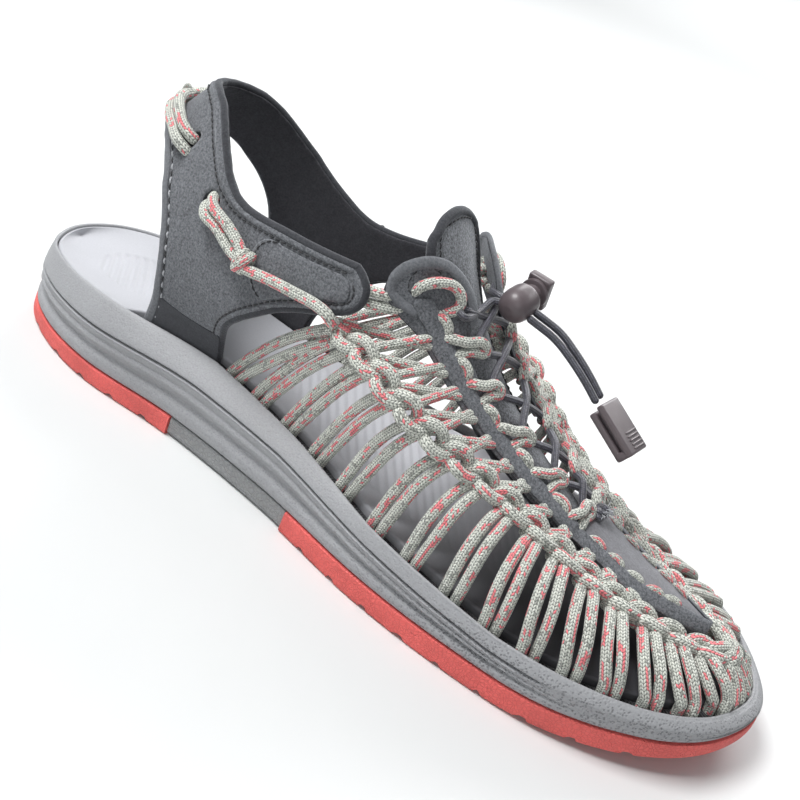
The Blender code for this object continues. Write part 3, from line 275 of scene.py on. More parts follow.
# ---------------------------------------------------------------- materials
class Mat:
    """a Principled material with a few shortcuts for its nodes"""
    def __init__(self, name, rough=0.6, **fixed):
        self.m = bpy.data.materials.new(name); self.m.use_nodes = True
        self.t = self.m.node_tree; self.b = self.t.nodes["Principled BSDF"]
        self.b.inputs["Roughness"].default_value = rough
        for k, v in fixed.items(): self.b.inputs[k.replace("_", " ")].default_value = v
    def put(self, sock, v):
        if isinstance(v, bpy.types.NodeSocket): self.t.links.new(v, sock)
        elif v is not None: sock.default_value = v
    def node(self, kind, ins=(), out=0, **props):
        n = self.t.nodes.new(kind)
        for k, v in props.items(): setattr(n, k, v)
        for k, v in dict(ins).items(): self.put(n.inputs[k], v)
        return n.outputs[out]
    def math(self, op, a, b=None, c=None):
        n = self.t.nodes.new("ShaderNodeMath"); n.operation = op
        for i, v in enumerate((a, b, c)):
            if v is not None: self.put(n.inputs[i], v)
        return n.outputs[0]
    def at(self): return self.node("ShaderNodeTexCoord", out=3)
    def xyz(self, v=None):
        n = self.t.nodes.new("ShaderNodeSeparateXYZ"); self.put(n.inputs[0], v or self.at())
        return n.outputs[0], n.outputs[1], n.outputs[2]
    def uv(self):
        n = self.t.nodes.new("ShaderNodeUVMap"); n.uv_map = "UVMap"
        s = self.t.nodes.new("ShaderNodeSeparateXYZ"); self.t.links.new(n.outputs[0], s.inputs[0])
        return s.outputs[0], s.outputs[1]
    def vec(self, x, y, z=0.0): return self.node("ShaderNodeCombineXYZ", {0: x, 1: y, 2: z})
    def noise(self, scale, detail=3.0, rough=0.55, at=None, dist=0.0): return self.node("ShaderNodeTexNoise", {"Vector": at or self.at(), "Scale": scale, "Detail": detail, "Roughness": rough, "Distortion": dist}, out=0)
    def cells(self, scale, feature="F1", at=None, out=0, rnd=1.0, smoothness=None):
        ins = {"Vector": at or self.at(), "Scale": scale, "Randomness": rnd}
        if smoothness is not None: ins["Smoothness"] = smoothness
        return self.node("ShaderNodeTexVoronoi", ins, out=out, feature=feature)
    def band(self, v, lo, hi, a=0.0, b=1.0): return self.node("ShaderNodeMapRange", {"Value": v, "From Min": lo, "From Max": hi, "To Min": a, "To Max": b}, interpolation_type="SMOOTHSTEP")
    def line(self, v, lo, hi, a=0.0, b=1.0): return self.node("ShaderNodeMapRange", {"Value": v, "From Min": lo, "From Max": hi, "To Min": a, "To Max": b})
    def mix(self, f, a, b, how="MIX"):
        n = self.t.nodes.new("ShaderNodeMix"); n.data_type = "RGBA"; n.blend_type = how
        self.put(n.inputs[0], f)
        for i, v in ((6, a), (7, b)): self.put(n.inputs[i], v if isinstance(v, bpy.types.NodeSocket) or len(v) == 4 else (*v, 1))
        return n.outputs[2]
    def colour(self, v): self.put(self.b.inputs["Base Color"], v if isinstance(v, bpy.types.NodeSocket) or len(v) == 4 else (*v, 1))
    def roughness(self, v): self.put(self.b.inputs["Roughness"], v)
    def bump(self, h, dist_mm, strength=1.0, on=None):
        n = self.t.nodes.new("ShaderNodeBump"); n.inputs["Strength"].default_value = strength; n.inputs["Distance"].default_value = dist_mm * MM
        self.put(n.inputs["Height"], h)
        if on is not None: self.put(n.inputs["Normal"], on)
        self.t.links.new(n.outputs[0], self.b.inputs["Normal"])
        return n.outputs[0]

def srgb(r, g, b):
    f = lambda c: c / 12.92 if c <= 0.04045 else ((c + 0.055) / 1.055) ** 2.4
    return tuple(f(v / 255) for v in (r, g, b))

def rubber(name, rgb, grain=900, deep=0.22, rough=0.6, vary=0.10):
    """matt rubber with a leathery grain"""
    M = Mat(name, rough); M.b.inputs["Specular IOR Level"].default_value = 0.42
    wob = M.noise(260, 2.0)
    p = M.node("ShaderNodeVectorMath", {0: M.at(), 1: M.node("ShaderNodeVectorMath", {0: M.vec(wob, wob, wob), "Scale": 0.0016}, operation="SCALE")}, operation="ADD")
    c = M.cells(grain, at=p); e = M.cells(grain, "DISTANCE_TO_EDGE", at=p)
    lump = M.noise(70, 3.0)
    f = M.line(lump, 0.3, 0.7, 1 - vary, 1 + vary * 0.6)
    # painted shade: the grain's creases, which the bump sinks, are darkened to 0.86
    g = M.line(e, 0.0, 0.12, 0.86, 1.0)
    tone = M.math("MULTIPLY", f, g)
    M.colour(M.mix(1.0, rgb, M.vec(tone, tone, tone), "MULTIPLY"))
    M.roughness(M.line(c, 0.0, 0.7, rough - 0.10, rough + 0.12))
    h = M.math("ADD", M.math("MULTIPLY", M.line(e, 0.0, 0.16), 0.7), M.math("MULTIPLY", M.noise(2600, 2.0), 0.35))
    M.bump(h, deep)
    return M.m

def foam(name, rgb, stipple=0.0, rough=0.55):
    """moulded foam, a fine skin with small pores"""
    M = Mat(name, rough); M.b.inputs["Specular IOR Level"].default_value = 0.45
    big, fine = M.noise(38, 3.0), M.noise(1700, 3.0)
    t = M.math("MULTIPLY", M.line(big, 0.3, 0.7, 0.955, 1.03), M.line(fine, 0.3, 0.7, 0.90, 1.09))
    x, y, z = M.xyz()
    base = M.mix(1.0, rgb, M.vec(t, t, t), "MULTIPLY")
    pore = M.cells(1150, at=M.at())
    if stipple:   # a stippled band low on the side, stronger round the toe
        low = M.math("MULTIPLY", M.band(z, 0.0205, 0.0165), M.band(x, 0.010, 0.075, 0.25, 1.0))
        dot = M.band(pore, 0.20, 0.46)
        # painted shade: the pits of the stipple take the colour darkened to 0.55
        base = M.mix(M.math("MULTIPLY", low, M.math("MULTIPLY", M.math("SUBTRACT", 1.0, dot), stipple)), base, tuple(c * 0.55 for c in rgb))
        M.bump(M.math("ADD", M.math("MULTIPLY", M.math("MULTIPLY", dot, low), 0.8), M.math("ADD", M.math("MULTIPLY", fine, 0.5), M.math("MULTIPLY", M.band(pore, 0.1, 0.6), 0.45))), 0.17)
    else:
        M.bump(M.math("ADD", M.math("MULTIPLY", fine, 0.5), M.math("MULTIPLY", pore, 0.3)), 0.07)
    M.colour(base)
    M.roughness(M.line(fine, 0.3, 0.7, rough - 0.06, rough + 0.08))
    return M.m

def suede(name, rgb, mottle=0.45, nap=0.35, rough=0.92):
    """short-napped microsuede, speckled and a little cloudy"""
    M = Mat(name, rough); M.b.inputs["Sheen Weight"].default_value = nap; M.b.inputs["Sheen Roughness"].default_value = 0.45
    M.b.inputs["Sheen Tint"].default_value = (0.75, 0.78, 0.82, 1); M.b.inputs["Specular IOR Level"].default_value = 0.25
    fine, mid, big = M.noise(1500, 4.0, 0.65), M.noise(420, 3.0), M.noise(34, 2.0)
    t = M.math("MULTIPLY", M.line(fine, 0.3, 0.7, 1 - mottle, 1 + mottle), M.math("MULTIPLY", M.line(mid, 0.3, 0.7, 0.92, 1.08), M.line(big, 0.3, 0.7, 0.90, 1.10)))
    M.colour(M.mix(1.0, rgb, M.vec(t, t, t), "MULTIPLY"))
    M.bump(M.math("ADD", fine, M.math("MULTIPLY", mid, 0.6)), 0.20)
    return M.m

def braid(name, light, dark, fleck, K=14, pitch=0.95, fleck_share=0.565):
    """a braided cord: columns of slanted stitches with dark painted shade in the gaps between, and streaks of coral
    yarn
    """
    M = Mat(name, 0.78); M.b.inputs["Sheen Weight"].default_value = 0.22; M.b.inputs["Sheen Roughness"].default_value = 0.5; M.b.inputs["Specular IOR Level"].default_value = 0.3
    u, v = M.uv()
    U = M.math("MULTIPLY", u, float(K)); c = M.math("FLOOR", U); fu = M.math("FRACT", U)
    odd = M.math("MODULO", M.math("ABSOLUTE", c), 2.0)
    lean = M.math("ADD", M.math("MULTIPLY", odd, fu), M.math("MULTIPLY", M.math("SUBTRACT", 1.0, odd), M.math("SUBTRACT", 1.0, fu)))
    W = M.math("ADD", M.math("DIVIDE", v, pitch), M.math("MULTIPLY", lean, 0.62))
    r, fv = M.math("FLOOR", W), M.math("FRACT", W)
    hump = lambda f: M.math("SINE", M.math("MULTIPLY", f, math.pi))
    h = M.math("MULTIPLY", M.math("POWER", hump(fv), 0.55), M.math("POWER", hump(fu), 0.45))
    rnd = M.node("ShaderNodeTexWhiteNoise", {"Vector": M.vec(M.math("MODULO", c, float(K)), r, 0.0)}, noise_dimensions="3D")
    turn = M.math("MULTIPLY", M.math("DIVIDE", M.math("ADD", c, 0.5), float(K)), 2 * math.pi)
    cell = M.vec(M.math("MULTIPLY", M.math("COSINE", turn), 1.0), M.math("MULTIPLY", M.math("SINE", turn), 1.0), M.math("MULTIPLY", r, pitch * 0.115))
    streak = M.node("ShaderNodeTexNoise", {"Vector": cell, "Scale": 1.25, "Detail": 1.0, "Roughness": 0.4}, out=0)
    is_fleck = M.math("GREATER_THAN", M.math("ADD", streak, M.math("MULTIPLY", M.math("SUBTRACT", rnd, 0.5), 0.17)), fleck_share + 0.045)
    body = M.mix(M.line(rnd, 0.0, 1.0, 0.0, 1.0), tuple(x * 0.84 for x in light), tuple(min(1, x * 1.10) for x in light))
    body = M.mix(M.math("GREATER_THAN", rnd, 0.90), body, tuple(x * 0.50 for x in light))
    red = M.mix(rnd, tuple(x * 0.86 for x in fleck), tuple(min(1, x * 1.10) for x in fleck))
    top = M.mix(is_fleck, body, red)
    # painted shade: the gaps between stitches take the dark colour, and coral darkened to 0.42 where a fleck lies
    gap_shade = M.mix(M.math("MULTIPLY", is_fleck, 0.6), dark, tuple(x * 0.42 for x in fleck))
    M.colour(M.mix(M.band(h, 0.16, 0.64), gap_shade, top))
    M.bump(h, 0.30)
    return M.m

def elastic(name, rgb):
    """a thin round elastic with a tight glossy sheath"""
    M = Mat(name, 0.36); M.b.inputs["Sheen Weight"].default_value = 0.25; M.b.inputs["Specular IOR Level"].default_value = 0.65
    u, v = M.uv()
    U = M.math("MULTIPLY", u, 10.0); fu = M.math("FRACT", U); c = M.math("FLOOR", U)
    fv = M.math("FRACT", M.math("ADD", M.math("DIVIDE", v, 0.62), M.math("MULTIPLY", c, 0.5)))
    h = M.math("MULTIPLY", M.math("SINE", M.math("MULTIPLY", fu, math.pi)), M.math("POWER", M.math("SINE", M.math("MULTIPLY", fv, math.pi)), 0.5))
    rnd = M.node("ShaderNodeTexWhiteNoise", {"Vector": M.vec(c, M.math("FLOOR", M.math("DIVIDE", v, 0.62)), 0.0)}, noise_dimensions="3D")
    body = M.mix(rnd, tuple(x * 0.7 for x in rgb), tuple(x * 1.9 for x in rgb))
    # painted shade: the grooves between the ribs are darkened to 0.35 of the colour
    M.colour(M.mix(M.band(h, 0.15, 0.7), tuple(x * 0.35 for x in rgb), body))
    M.bump(h, 0.12)
    return M.m

def plastic(name, rgb, rough=0.34):
    """satin moulded plastic with a fine spark-eroded skin"""
    M = Mat(name, rough); M.b.inputs["Specular IOR Level"].default_value = 0.5; M.b.inputs["Coat Weight"].default_value = 0.06
    fine, big = M.noise(2400, 2.0), M.noise(160, 3.0)
    t = M.line(big, 0.3, 0.7, 0.93, 1.07)
    M.colour(M.mix(1.0, rgb, M.vec(t, t, t), "MULTIPLY"))
    M.roughness(M.line(big, 0.3, 0.7, rough - 0.06, rough + 0.10))
    M.bump(fine, 0.035)
    return M.m

def webbing(name, rgb):
    """a dark woven tape"""
    M = Mat(name, 0.85); M.b.inputs["Sheen Weight"].default_value = 0.2
    u, v = M.uv()
    a = M.math("SINE", M.math("MULTIPLY", v, 2 * math.pi / 1.1)); b = M.math("SINE", M.math("MULTIPLY", u, 2 * math.pi * 9))
    h = M.math("MULTIPLY", a, b)
    # painted shade and light: the weave's dips are darkened and its raised yarns lightened, following the bump
    M.colour(M.mix(M.line(h, -1, 1), tuple(x * 0.5 for x in rgb), tuple(x * 1.4 for x in rgb)))
    M.bump(h, 0.12)
    return M.m

def thread(name, rgb):
    M = Mat(name, 0.7); M.b.inputs["Sheen Weight"].default_value = 0.2
    n = M.noise(3000, 2.0)
    M.colour(M.mix(M.line(n, 0.3, 0.7), tuple(x * 0.75 for x in rgb), tuple(x * 1.2 for x in rgb)))
    M.bump(n, 0.05)
    return M.m

def footbed_foam(name, pale, deep):
    """pale at the heel and darker towards the toe, where the darkening is painted shade from the upper"""
    M = Mat(name, 0.62); M.b.inputs["Specular IOR Level"].default_value = 0.35
    x, y, z = M.xyz(); fine = M.noise(1700, 3.0); big = M.noise(30, 2.0)
    t = M.math("MULTIPLY", M.line(big, 0.3, 0.7, 0.95, 1.03), M.line(fine, 0.3, 0.7, 0.96, 1.03))
    # painted shade: the colour runs from pale at the heel to the dark colour at the toe
    c = M.mix(M.band(x, 0.015, 0.075), pale, deep)
    M.colour(M.mix(1.0, c, M.vec(t, t, t), "MULTIPLY"))
    M.bump(M.math("ADD", M.math("MULTIPLY", fine, 0.5), M.math("MULTIPLY", M.cells(1150), 0.3)), 0.08)
    return M.m

CORAL = rubber("coral_rubber_grain", srgb(234, 106, 101), vary=0.14)
GREY_TREAD = rubber("grey_rubber_grain", srgb(150, 151, 152), grain=700, deep=0.3)
FOAM = foam("grey_foam_skin", srgb(156, 157, 160), stipple=0.8)
# the second colour is painted shade on the footbed towards the toe
BED = footbed_foam("pale_foam_skin_painted_toe_shade", srgb(178, 179, 184), srgb(70, 70, 74))
SUEDE = suede("dark_microsuede", srgb(103, 105, 109), mottle=0.62)
LINING = suede("dark_lining", srgb(58, 58, 62), mottle=0.25, nap=0.2)
# partly a smoother dark material, partly painted shade at the foot of the strap
SMOOTH_PATCH_AND_SHADE = suede("smooth_base_patch_and_shade", srgb(66, 67, 71), mottle=0.15, nap=0.1, rough=0.7)
BINDING = suede("edge_binding", srgb(104, 106, 110), mottle=0.3)
# partly a dark binding colour, partly painted shade on the cut edges of the suede sheets
DARK_EDGE_AND_SHADE = suede("dark_edge_binding_and_edge_shade", srgb(60, 61, 65), mottle=0.3)
# the second colour is painted shade in the gaps between the stitches
BRAID = braid("braided_cord_flecked", srgb(222, 224, 215), srgb(100, 106, 99), srgb(244, 136, 141))
ELASTIC = elastic("dark_elastic", srgb(68, 68, 78))
PLASTIC = plastic("brown_satin_plastic", srgb(92, 83, 86))
WEB = webbing("dark_tape", srgb(38, 38, 41))
THREAD_DARK = thread("dark_thread", srgb(40, 41, 44))
THREAD_LIGHT = thread("light_thread", srgb(168, 170, 174))

# ---------------------------------------------------------------- camera, floor and lights
TARGET = np.array([145.0, 0.0, 40.0])
az, el, roll = math.radians(20.95), math.radians(29.69), math.radians(-22.52)
BACK = np.array([math.sin(az) * math.cos(el), -math.cos(az) * math.cos(el), math.sin(el)])
RIGHT = np.array([math.cos(az), math.sin(az), 0.0]); UP = np.cross(BACK, RIGHT)
CX, CY = math.cos(roll) * RIGHT - math.sin(roll) * UP, math.sin(roll) * RIGHT + math.cos(roll) * UP
cam = bpy.data.cameras.new("camera"); cam_ob = bpy.data.objects.new("camera", cam)
bpy.context.scene.collection.objects.link(cam_ob)
M4 = Matrix.Identity(4)
for i in range(3):
    M4[i][0], M4[i][1], M4[i][2] = CX[i], CY[i], BACK[i]
    M4[i][3] = (TARGET + BACK * 360.29 + SHIFT)[i] * MM
cam_ob.matrix_world = M4
cam.sensor_fit, cam.sensor_width = "HORIZONTAL", 36.0
cam.lens = 1108.01 / 800 * 36.0
cam.shift_x, cam.shift_y = 5.65 / 800, -1.25 / 800
cam.clip_start, cam.clip_end = 0.01, 50.0
bpy.context.scene.camera = cam_ob

floor_mesh = bpy.data.meshes.new("floor")
floor_mesh.from_pydata([(-6, -6, 0), (6, -6, 0), (6, 6, 0), (-6, 6, 0)], [], [(0, 1, 2, 3)])
floor = bpy.data.objects.new("floor", floor_mesh); bpy.context.scene.collection.objects.link(floor)
floor.location = (0, 0, -0.00002)
FL = Mat("pale_floor", 0.55)
FL.colour((0.70, 0.71, 0.71)); FL.bump(FL.noise(900, 2.0), 0.01)
floor_mesh.materials.append(FL.m)

def area(name, at, size, power, aim=(0.0, 0.0, 0.04), tint=(1, 1, 1)):
    l = bpy.data.lights.new(name, "AREA"); l.shape = "RECTANGLE"; l.size, l.size_y, l.energy, l.color = size[0], size[1], power, tint
    o = bpy.data.objects.new(name, l); bpy.context.scene.collection.objects.link(o)
    o.location = at
    o.rotation_euler = (Vector(aim) - Vector(at)).to_track_quat("-Z", "Y").to_euler()
    return o

area("key", (-0.40, -0.22, 0.95), (0.50, 0.38), 12.5)
area("fill", (0.45, -1.05, 0.60), (0.8, 0.6), 2.4)
area("back", (-0.10, 0.85, 0.60), (0.9, 0.4), 4.5)
area("far_floor", (0.7, 2.3, 1.6), (2.4, 2.0), 26.0, aim=(0.9, 2.6, 0.0))
area("far_corner", (-0.15, 2.10, 1.0), (1.4, 2.2), 20.0, aim=(-0.15, 2.15, 0.0))
world = bpy.data.worlds.new("world"); bpy.context.scene.world = world
world.use_nodes = True
world.node_tree.nodes["Background"].inputs["Color"].default_value = (0.93, 0.97, 1.0, 1)
world.node_tree.nodes["Background"].inputs["Strength"].default_value = 0.24
bpy.context.scene.view_settings.view_transform = "Standard"

# ---------------------------------------------------------------- the sole's own curves
_oc = spline([(0.0, 0.0)] + [(r[0] * L, -r[1]) for r in OUTLINE] + [(L, TOE_Y)] + [(r[0] * L, r[2]) for r in OUTLINE][::-1], 1600, closed=True)
_tip = int(np.argmax(_oc[:, 0]))
EDGE = {-1: spaced(_oc[:_tip + 1], 600), 1: spaced(np.vstack([_oc[:1], _oc[_tip:][::-1]]), 600)}

def normals(side):
    d = unit(np.gradient(EDGE[side], axis=0))
    return np.stack([-d[:, 1], d[:, 0]], 1) * (-side)

NORMAL = {-1: normals(-1), 1: normals(1)}
for s in (-1, 1):
    NORMAL[s][0], NORMAL[s][-1] = (1, 0), (-1, 0)

def bottom_z(x):
    x = np.asarray(x, float)
    return 9.7 * np.clip((x / L - 0.74) / 0.26, 0, 1) ** 2 + 1.6 * np.clip(1 - x / 12, 0, 1) ** 2

bev = lambda x: col(RIM, x, 1)
rim_z = lambda x: col(RIM, x, 2)
groove_z = lambda x: col(RIM, x, 3)
foot_z = lambda x: bottom_z(x) + col(RIM, x, 4)
fade = lambda x, a, b: 1 - smooth((np.asarray(x, float) - a) / (b - a))

def inset_y(x, inset, side):
    q = EDGE[side] + NORMAL[side] * np.asarray(inset(EDGE[side][:, 0]))[:, None]
    return np.interp(x, np.maximum.accumulate(q[:, 0]), q[:, 1])

def sole_solid(idx, wall, under, top, nb, nt, x0=None, x1=None):
    """lofts closed sections along the foot: wall rows (inset, z) from the foot to the top, then under and top surfaces across"""
    idx = {s: (idx[s] if isinstance(idx, dict) else idx) for s in (-1, 1)}
    rows = {}
    for s in (-1, 1):
        e, n = EDGE[s][idx[s]], NORMAL[s][idx[s]]
        rows[s] = []
        for inset, z, *cut in wall:
            q = e + n * (np.asarray(inset(e[:, 0])) + 0 * e[:, 0])[:, None]
            if x0 is not None: q[:, 0] = np.maximum(q[:, 0], x0)
            if x1 is not None: q[:, 0] = np.minimum(q[:, 0], x1)
            if x0 is not None and x0 > 1: q[0, 0] = x0
            if x1 is not None and x1 < L - 1: q[-1, 0] = x1
            zz = z(e[:, 0], q) if cut else z(e[:, 0]) + 0 * e[:, 0]
            rows[s].append(np.c_[q, zz])
    ring = []
    a, b = rows[-1][0], rows[1][0]
    for t in np.arange(1, nb) / nb:
        m = a + (b - a) * t; m[:, 2] = under(m[:, 0], m[:, 1], t); ring.append(m)
    ring += rows[1]
    a, b = rows[1][-1], rows[-1][-1]
    for t in np.arange(1, nt) / nt:
        m = a + (b - a) * t; m[:, 2] = m[:, 2] + top(m[:, 0], m[:, 1], 1 - t); ring.append(m)
    ring += rows[-1][::-1]
    R = np.stack(ring, 1); ns, m = R.shape[:2]
    v = R.reshape(-1, 3)
    f = [(i * m + j, i * m + (j + 1) % m, (i + 1) * m + (j + 1) % m, (i + 1) * m + j) for i in range(ns - 1) for j in range(m)]
    f += [tuple(range(m))[::-1], tuple((ns - 1) * m + j for j in range(m))]
    return v, f

def stations(x0, x1, n):
    """indices along both edges between two x, evenly spread"""
    out = {}
    for s in (-1, 1):
        k = np.nonzero((EDGE[s][:, 0] >= x0 - 1e-6) & (EDGE[s][:, 0] <= x1 + 1e-6))[0]
        out[s] = k[np.linspace(0, len(k) - 1, n).round().astype(int)]
    return out

def lugs(bars, deep=1.6, wide=1.3):
    """depth of the chevron grooves in the tread at a point"""
    def g(x, y):
        out = 0 * np.asarray(x, float)
        for bx, lean in bars:
            k = lean / 61.2
            d = np.abs(x - (bx + k * np.abs(y))) / math.sqrt(1 + k * k)
            out = np.maximum(out, deep * np.clip((wide + 0.25 - d) / 0.5, 0, 1))
        return out
    return g

def outsole(name, x0, x1, bars, tuck, n, mat, across=44):
    g = lugs(bars); lift = 0.6 if tuck else 0.0
    raised = lambda h: (lambda x, q: bottom_z(x) + lift + np.maximum(h, g(q[:, 0], q[:, 1]) - lift))
    wall = [(lambda x, i=i: i + tuck, raised(h), True) for i, h in ((1.25, 0.0), (0.75, 0.08), (0.38, 0.28), (0.13, 0.65), (0.02, 1.2), (0.0, 1.9), (0.03, 2.7), (0.08, 3.4))]
    wall += [(lambda x, i=i: i + tuck, lambda x, k=k: bottom_z(x) + lift + 3.4 + (foot_z(x) - bottom_z(x) - lift - 3.4) * k) for i, k in ((0.12, 0.35), (0.16, 0.7), (0.35, 0.92), (0.9, 1.0))]
    shape = sole_solid(stations(x0, x1, n), wall, lambda x, y, t: bottom_z(x) + lift + np.maximum(0, g(x, y) - lift), lambda x, y, t: 0 * x, across, 4, x0, x1)
    ob = piece(name, shape, mat, weld=0.01, smooth_deg=42)
    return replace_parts(ob, name.replace("_skin", ""))

outsole("outsole_heel_skin", 0.0, HEEL_END, [(16, 6), (30, 8), (44, 8), (58, 8), (72, 8)], 0.0, 118, CORAL)
outsole("outsole_arch_skin", HEEL_END + GAP, ARCH_END - GAP, [], 0.9, 40, GREY_TREAD, 20)
outsole("outsole_forefoot_skin", ARCH_END, L, [(156 + 14 * k, -7) for k in range(9)], 0.0, 210, CORAL)

# ---------------------------------------------------------------- midsole
RECESS = 6.6
IDX = np.unique(np.r_[0:12, 12:588:2, 588:600])
band = lambda x, k: foot_z(x) + GAP + 1.8 + k * (groove_z(x) - 1.3 - foot_z(x) - GAP - 1.8)
def side_inset(k):
    """the side wall between its foot and the thin groove: a broad shallow channel that fades towards the toe"""
    return lambda x: 0.45 + 0.15 * k + fade(x, 205, 262) * (1.6 * bump_at(k, 0.40, 0.15) + 0.6 * bump_at(k, 0.80, 0.07) - 0.15 * bump_at(k, 0.66, 0.06))
wall = [(lambda x: 2.0, lambda x: foot_z(x) + GAP), (lambda x: 1.2, lambda x: foot_z(x) + GAP + 0.08), (lambda x: 0.8, lambda x: foot_z(x) + GAP + 0.4),
        (lambda x: 0.55, lambda x: foot_z(x) + GAP + 0.9), (lambda x: 0.45, lambda x: foot_z(x) + GAP + 1.5)]
for k in np.linspace(0, 1, 25): wall.append((side_inset(k), lambda x, k=k: band(x, k)))
def slit(dz):
    """the thin dark groove with a raised lip under it"""
    return lambda x: 0.62 + fade(x, 224, 240) * (2.1 * bump_at(dz, -0.15, 0.34) - 0.26 * bump_at(dz, -0.95, 0.35) - 0.12 * bump_at(dz, 0.6, 0.3))
for dz in (-1.15, -0.95, -0.75, -0.58, -0.45, -0.33, -0.22, -0.12, 0.0, 0.12, 0.24, 0.36, 0.5, 0.7):
    wall.append((slit(dz), lambda x, dz=dz: groove_z(x) + dz))
for k in np.linspace(0.08, 0.86, 8):   # the sloping bevel, slightly full
    wall.append((lambda x, k=k: 0.62 + (bev(x) - 0.62) * k ** 1.35 * 0.93, lambda x, k=k: groove_z(x) + 0.8 + k * (rim_z(x) - groove_z(x) - 0.8)))
wall += [(lambda x: 0.94 * bev(x) - 0.25, lambda x: rim_z(x) - 0.42), (lambda x: bev(x) - 0.15, lambda x: rim_z(x) - 0.10), (lambda x: bev(x) + 0.25, rim_z),
         (lambda x: bev(x) + 0.6, lambda x: rim_z(x) - 0.12), (lambda x: bev(x) + 0.8, lambda x: rim_z(x) - 0.45), (lambda x: bev(x) + 0.85, lambda x: rim_z(x) - 2.5), (lambda x: bev(x) + 0.85, lambda x: rim_z(x) - RECESS)]
ob = piece("midsole_skin", sole_solid(IDX, wall, lambda x, y, t: foot_z(x) + GAP, lambda x, y, t: 0 * x, 4, 6), FOAM, weld=0.01, smooth_deg=70)
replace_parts(ob, "midsole")

# ---------------------------------------------------------------- footbed
def foot_inset(x):
    return bev(x) + 0.9 + GAP + 4.5 * smooth((np.asarray(x, float) - 55) / 7)

def dish(x, t):
    cup = 1 - (2 * t - 1) ** 2
    return -cup * (4.2 * np.exp(-((x - 38) / 34) ** 2) + 1.0) - 1.3 * cup * np.exp(-((x - 190) / 60) ** 2) + 0.6 * cup * np.exp(-((x - 105) / 26) ** 2)

PATCHES = [(38, 0.0, 19, 14, 0.95), (165, 1.0, 58, 27, 0.8)]   # centre x, y, half length, half width, height of the ribs
def relief(x, y, t):
    out = dish(x, t)
    for cx, cy, a, b, h in PATCHES:
        d = np.sqrt(((x - cx) / a) ** 2 + ((y - cy) / b) ** 2)
        rib = 0.5 + 0.5 * np.sin((x * 0.80 + (y - cy) * 0.60) * 2 * math.pi / 3.3)
        out = out - h * smooth((1.0 - d) / 0.08) * (1 - rib ** 0.7)
    return out

bed_wall = [(lambda x: foot_inset(x) + 0.5, lambda x: rim_z(x) - RECESS + GAP), (foot_inset, lambda x: rim_z(x) - RECESS + GAP + 0.8), (foot_inset, lambda x: rim_z(x) - 1.2),
            (lambda x: foot_inset(x) + 0.12, lambda x: rim_z(x) - 0.85), (lambda x: foot_inset(x) + 0.45, lambda x: rim_z(x) - 0.6), (lambda x: foot_inset(x) + 1.0, lambda x: rim_z(x) - 0.5)]
ob = piece("footbed_skin", sole_solid(IDX, bed_wall, lambda x, y, t: rim_z(x) - RECESS + GAP, relief, 2, 104), BED, weld=0.01, smooth_deg=70)
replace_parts(ob, "footbed")

# ---------------------------------------------------------------- where the upper's pieces lie
CH = 3.0
def base_pt(x, side, lift=0.0):
    return np.array([x, float(inset_y(x, lambda q: bev(q) + CH, side)), float(rim_z(x)) - 3.2 + lift])

def chain_pt(x, side):
    return np.array([x, float(look(CHAIN, x, 2 if side < 0 else 3)), float(look(CHAIN, x, 1 if side < 0 else 4))])

def outward(x, side):
    k = smooth((x - 150) / 110)
    return unit(np.array([0.25 * k, side * (1 - 0.35 * k), 0.25 + 0.75 * k]))

def side_curve(b, l, side, n=26):
    B, T = base_pt(b, side), chain_pt(l, side)
    arch = (0.22 + 0.55 * smooth((b - 110) / 110)) * (1.0 if side < 0 else 1 - 0.62 * smooth((b - 150) / 50))
    corner = np.array([B[0] + 0.35 * (T[0] - B[0]), B[1] + side * 2.5, T[2] + 1.0])
    C = (B + T) / 2 + arch * (corner - (B + T) / 2) * 1.15
    up = B + np.array([0.08 * (T[0] - B[0]), 0, 5.2])
    u = np.linspace(0, 1, 30)[:, None]
    q = (1 - u) ** 2 * up + 2 * u * (1 - u) * C + u * u * T
    return spaced(spline(np.vstack([B - [0, 0, 1.0], q[::3]]), 60), n)

def flip_y(x, y, side):
    if side < 0: return y
    return -y + (float(look(CHAIN, x, 2) + look(CHAIN, x, 3)) if x > 133 else 0.0)

def panel_normal(x, side):
    slope = (look(RIDGE, x + 4, 1) - look(RIDGE, x - 4, 1)) / 8
    return unit(np.array([-slope, side * 0.34, 1.0]))

K_ARM = len(ARM)
OUT = {s: spline([(a, flip_y(a, b, s), c) for a, b, c, *_ in ARM] + [(a, flip_y(a, b, s), c) for a, b, c in VAMP], 40 * (K_ARM + len(VAMP) - 1)) for s in (-1, 1)}
INN = {s: spline([(d, flip_y(d, e, s), g) for *_, d, e, g in ARM], 40 * (K_ARM - 1)) for s in (-1, 1)}
pick = lambda tab, r: np.array([np.interp(r * 40, np.arange(len(tab)), tab[:, k]) for k in range(3)])

def arm_pt(side, r, t, off=0.0):
    """a point of one eyestay arm: r runs from its top to the throat, t from the outer to the inner edge"""
    a, b = pick(OUT[side], r), pick(INN[side], r)
    n = panel_normal(a[0], side)
    return a * (1 - t) + b * t + n * (4.8 * t * (1 - t) + off)

def vamp_pt(side, r, mm_in, off=0.0):
    """a point of the vamp: r beyond the throat, mm_in from its outer edge"""
    o = pick(OUT[side], r); m = (pick(OUT[-1], r) + pick(OUT[1], r)) / 2; m[2] = look(RIDGE, m[0], 1) + 0.25
    w = max(1.0, np.linalg.norm((m - o)[:2])); t = min(1.0, mm_in / w)
    p = o * (1 - t) + m * t; p[2] = o[2] + (m[2] - o[2]) * (1 - (1 - t) ** 2)
    return p + panel_normal(o[0], side) * off

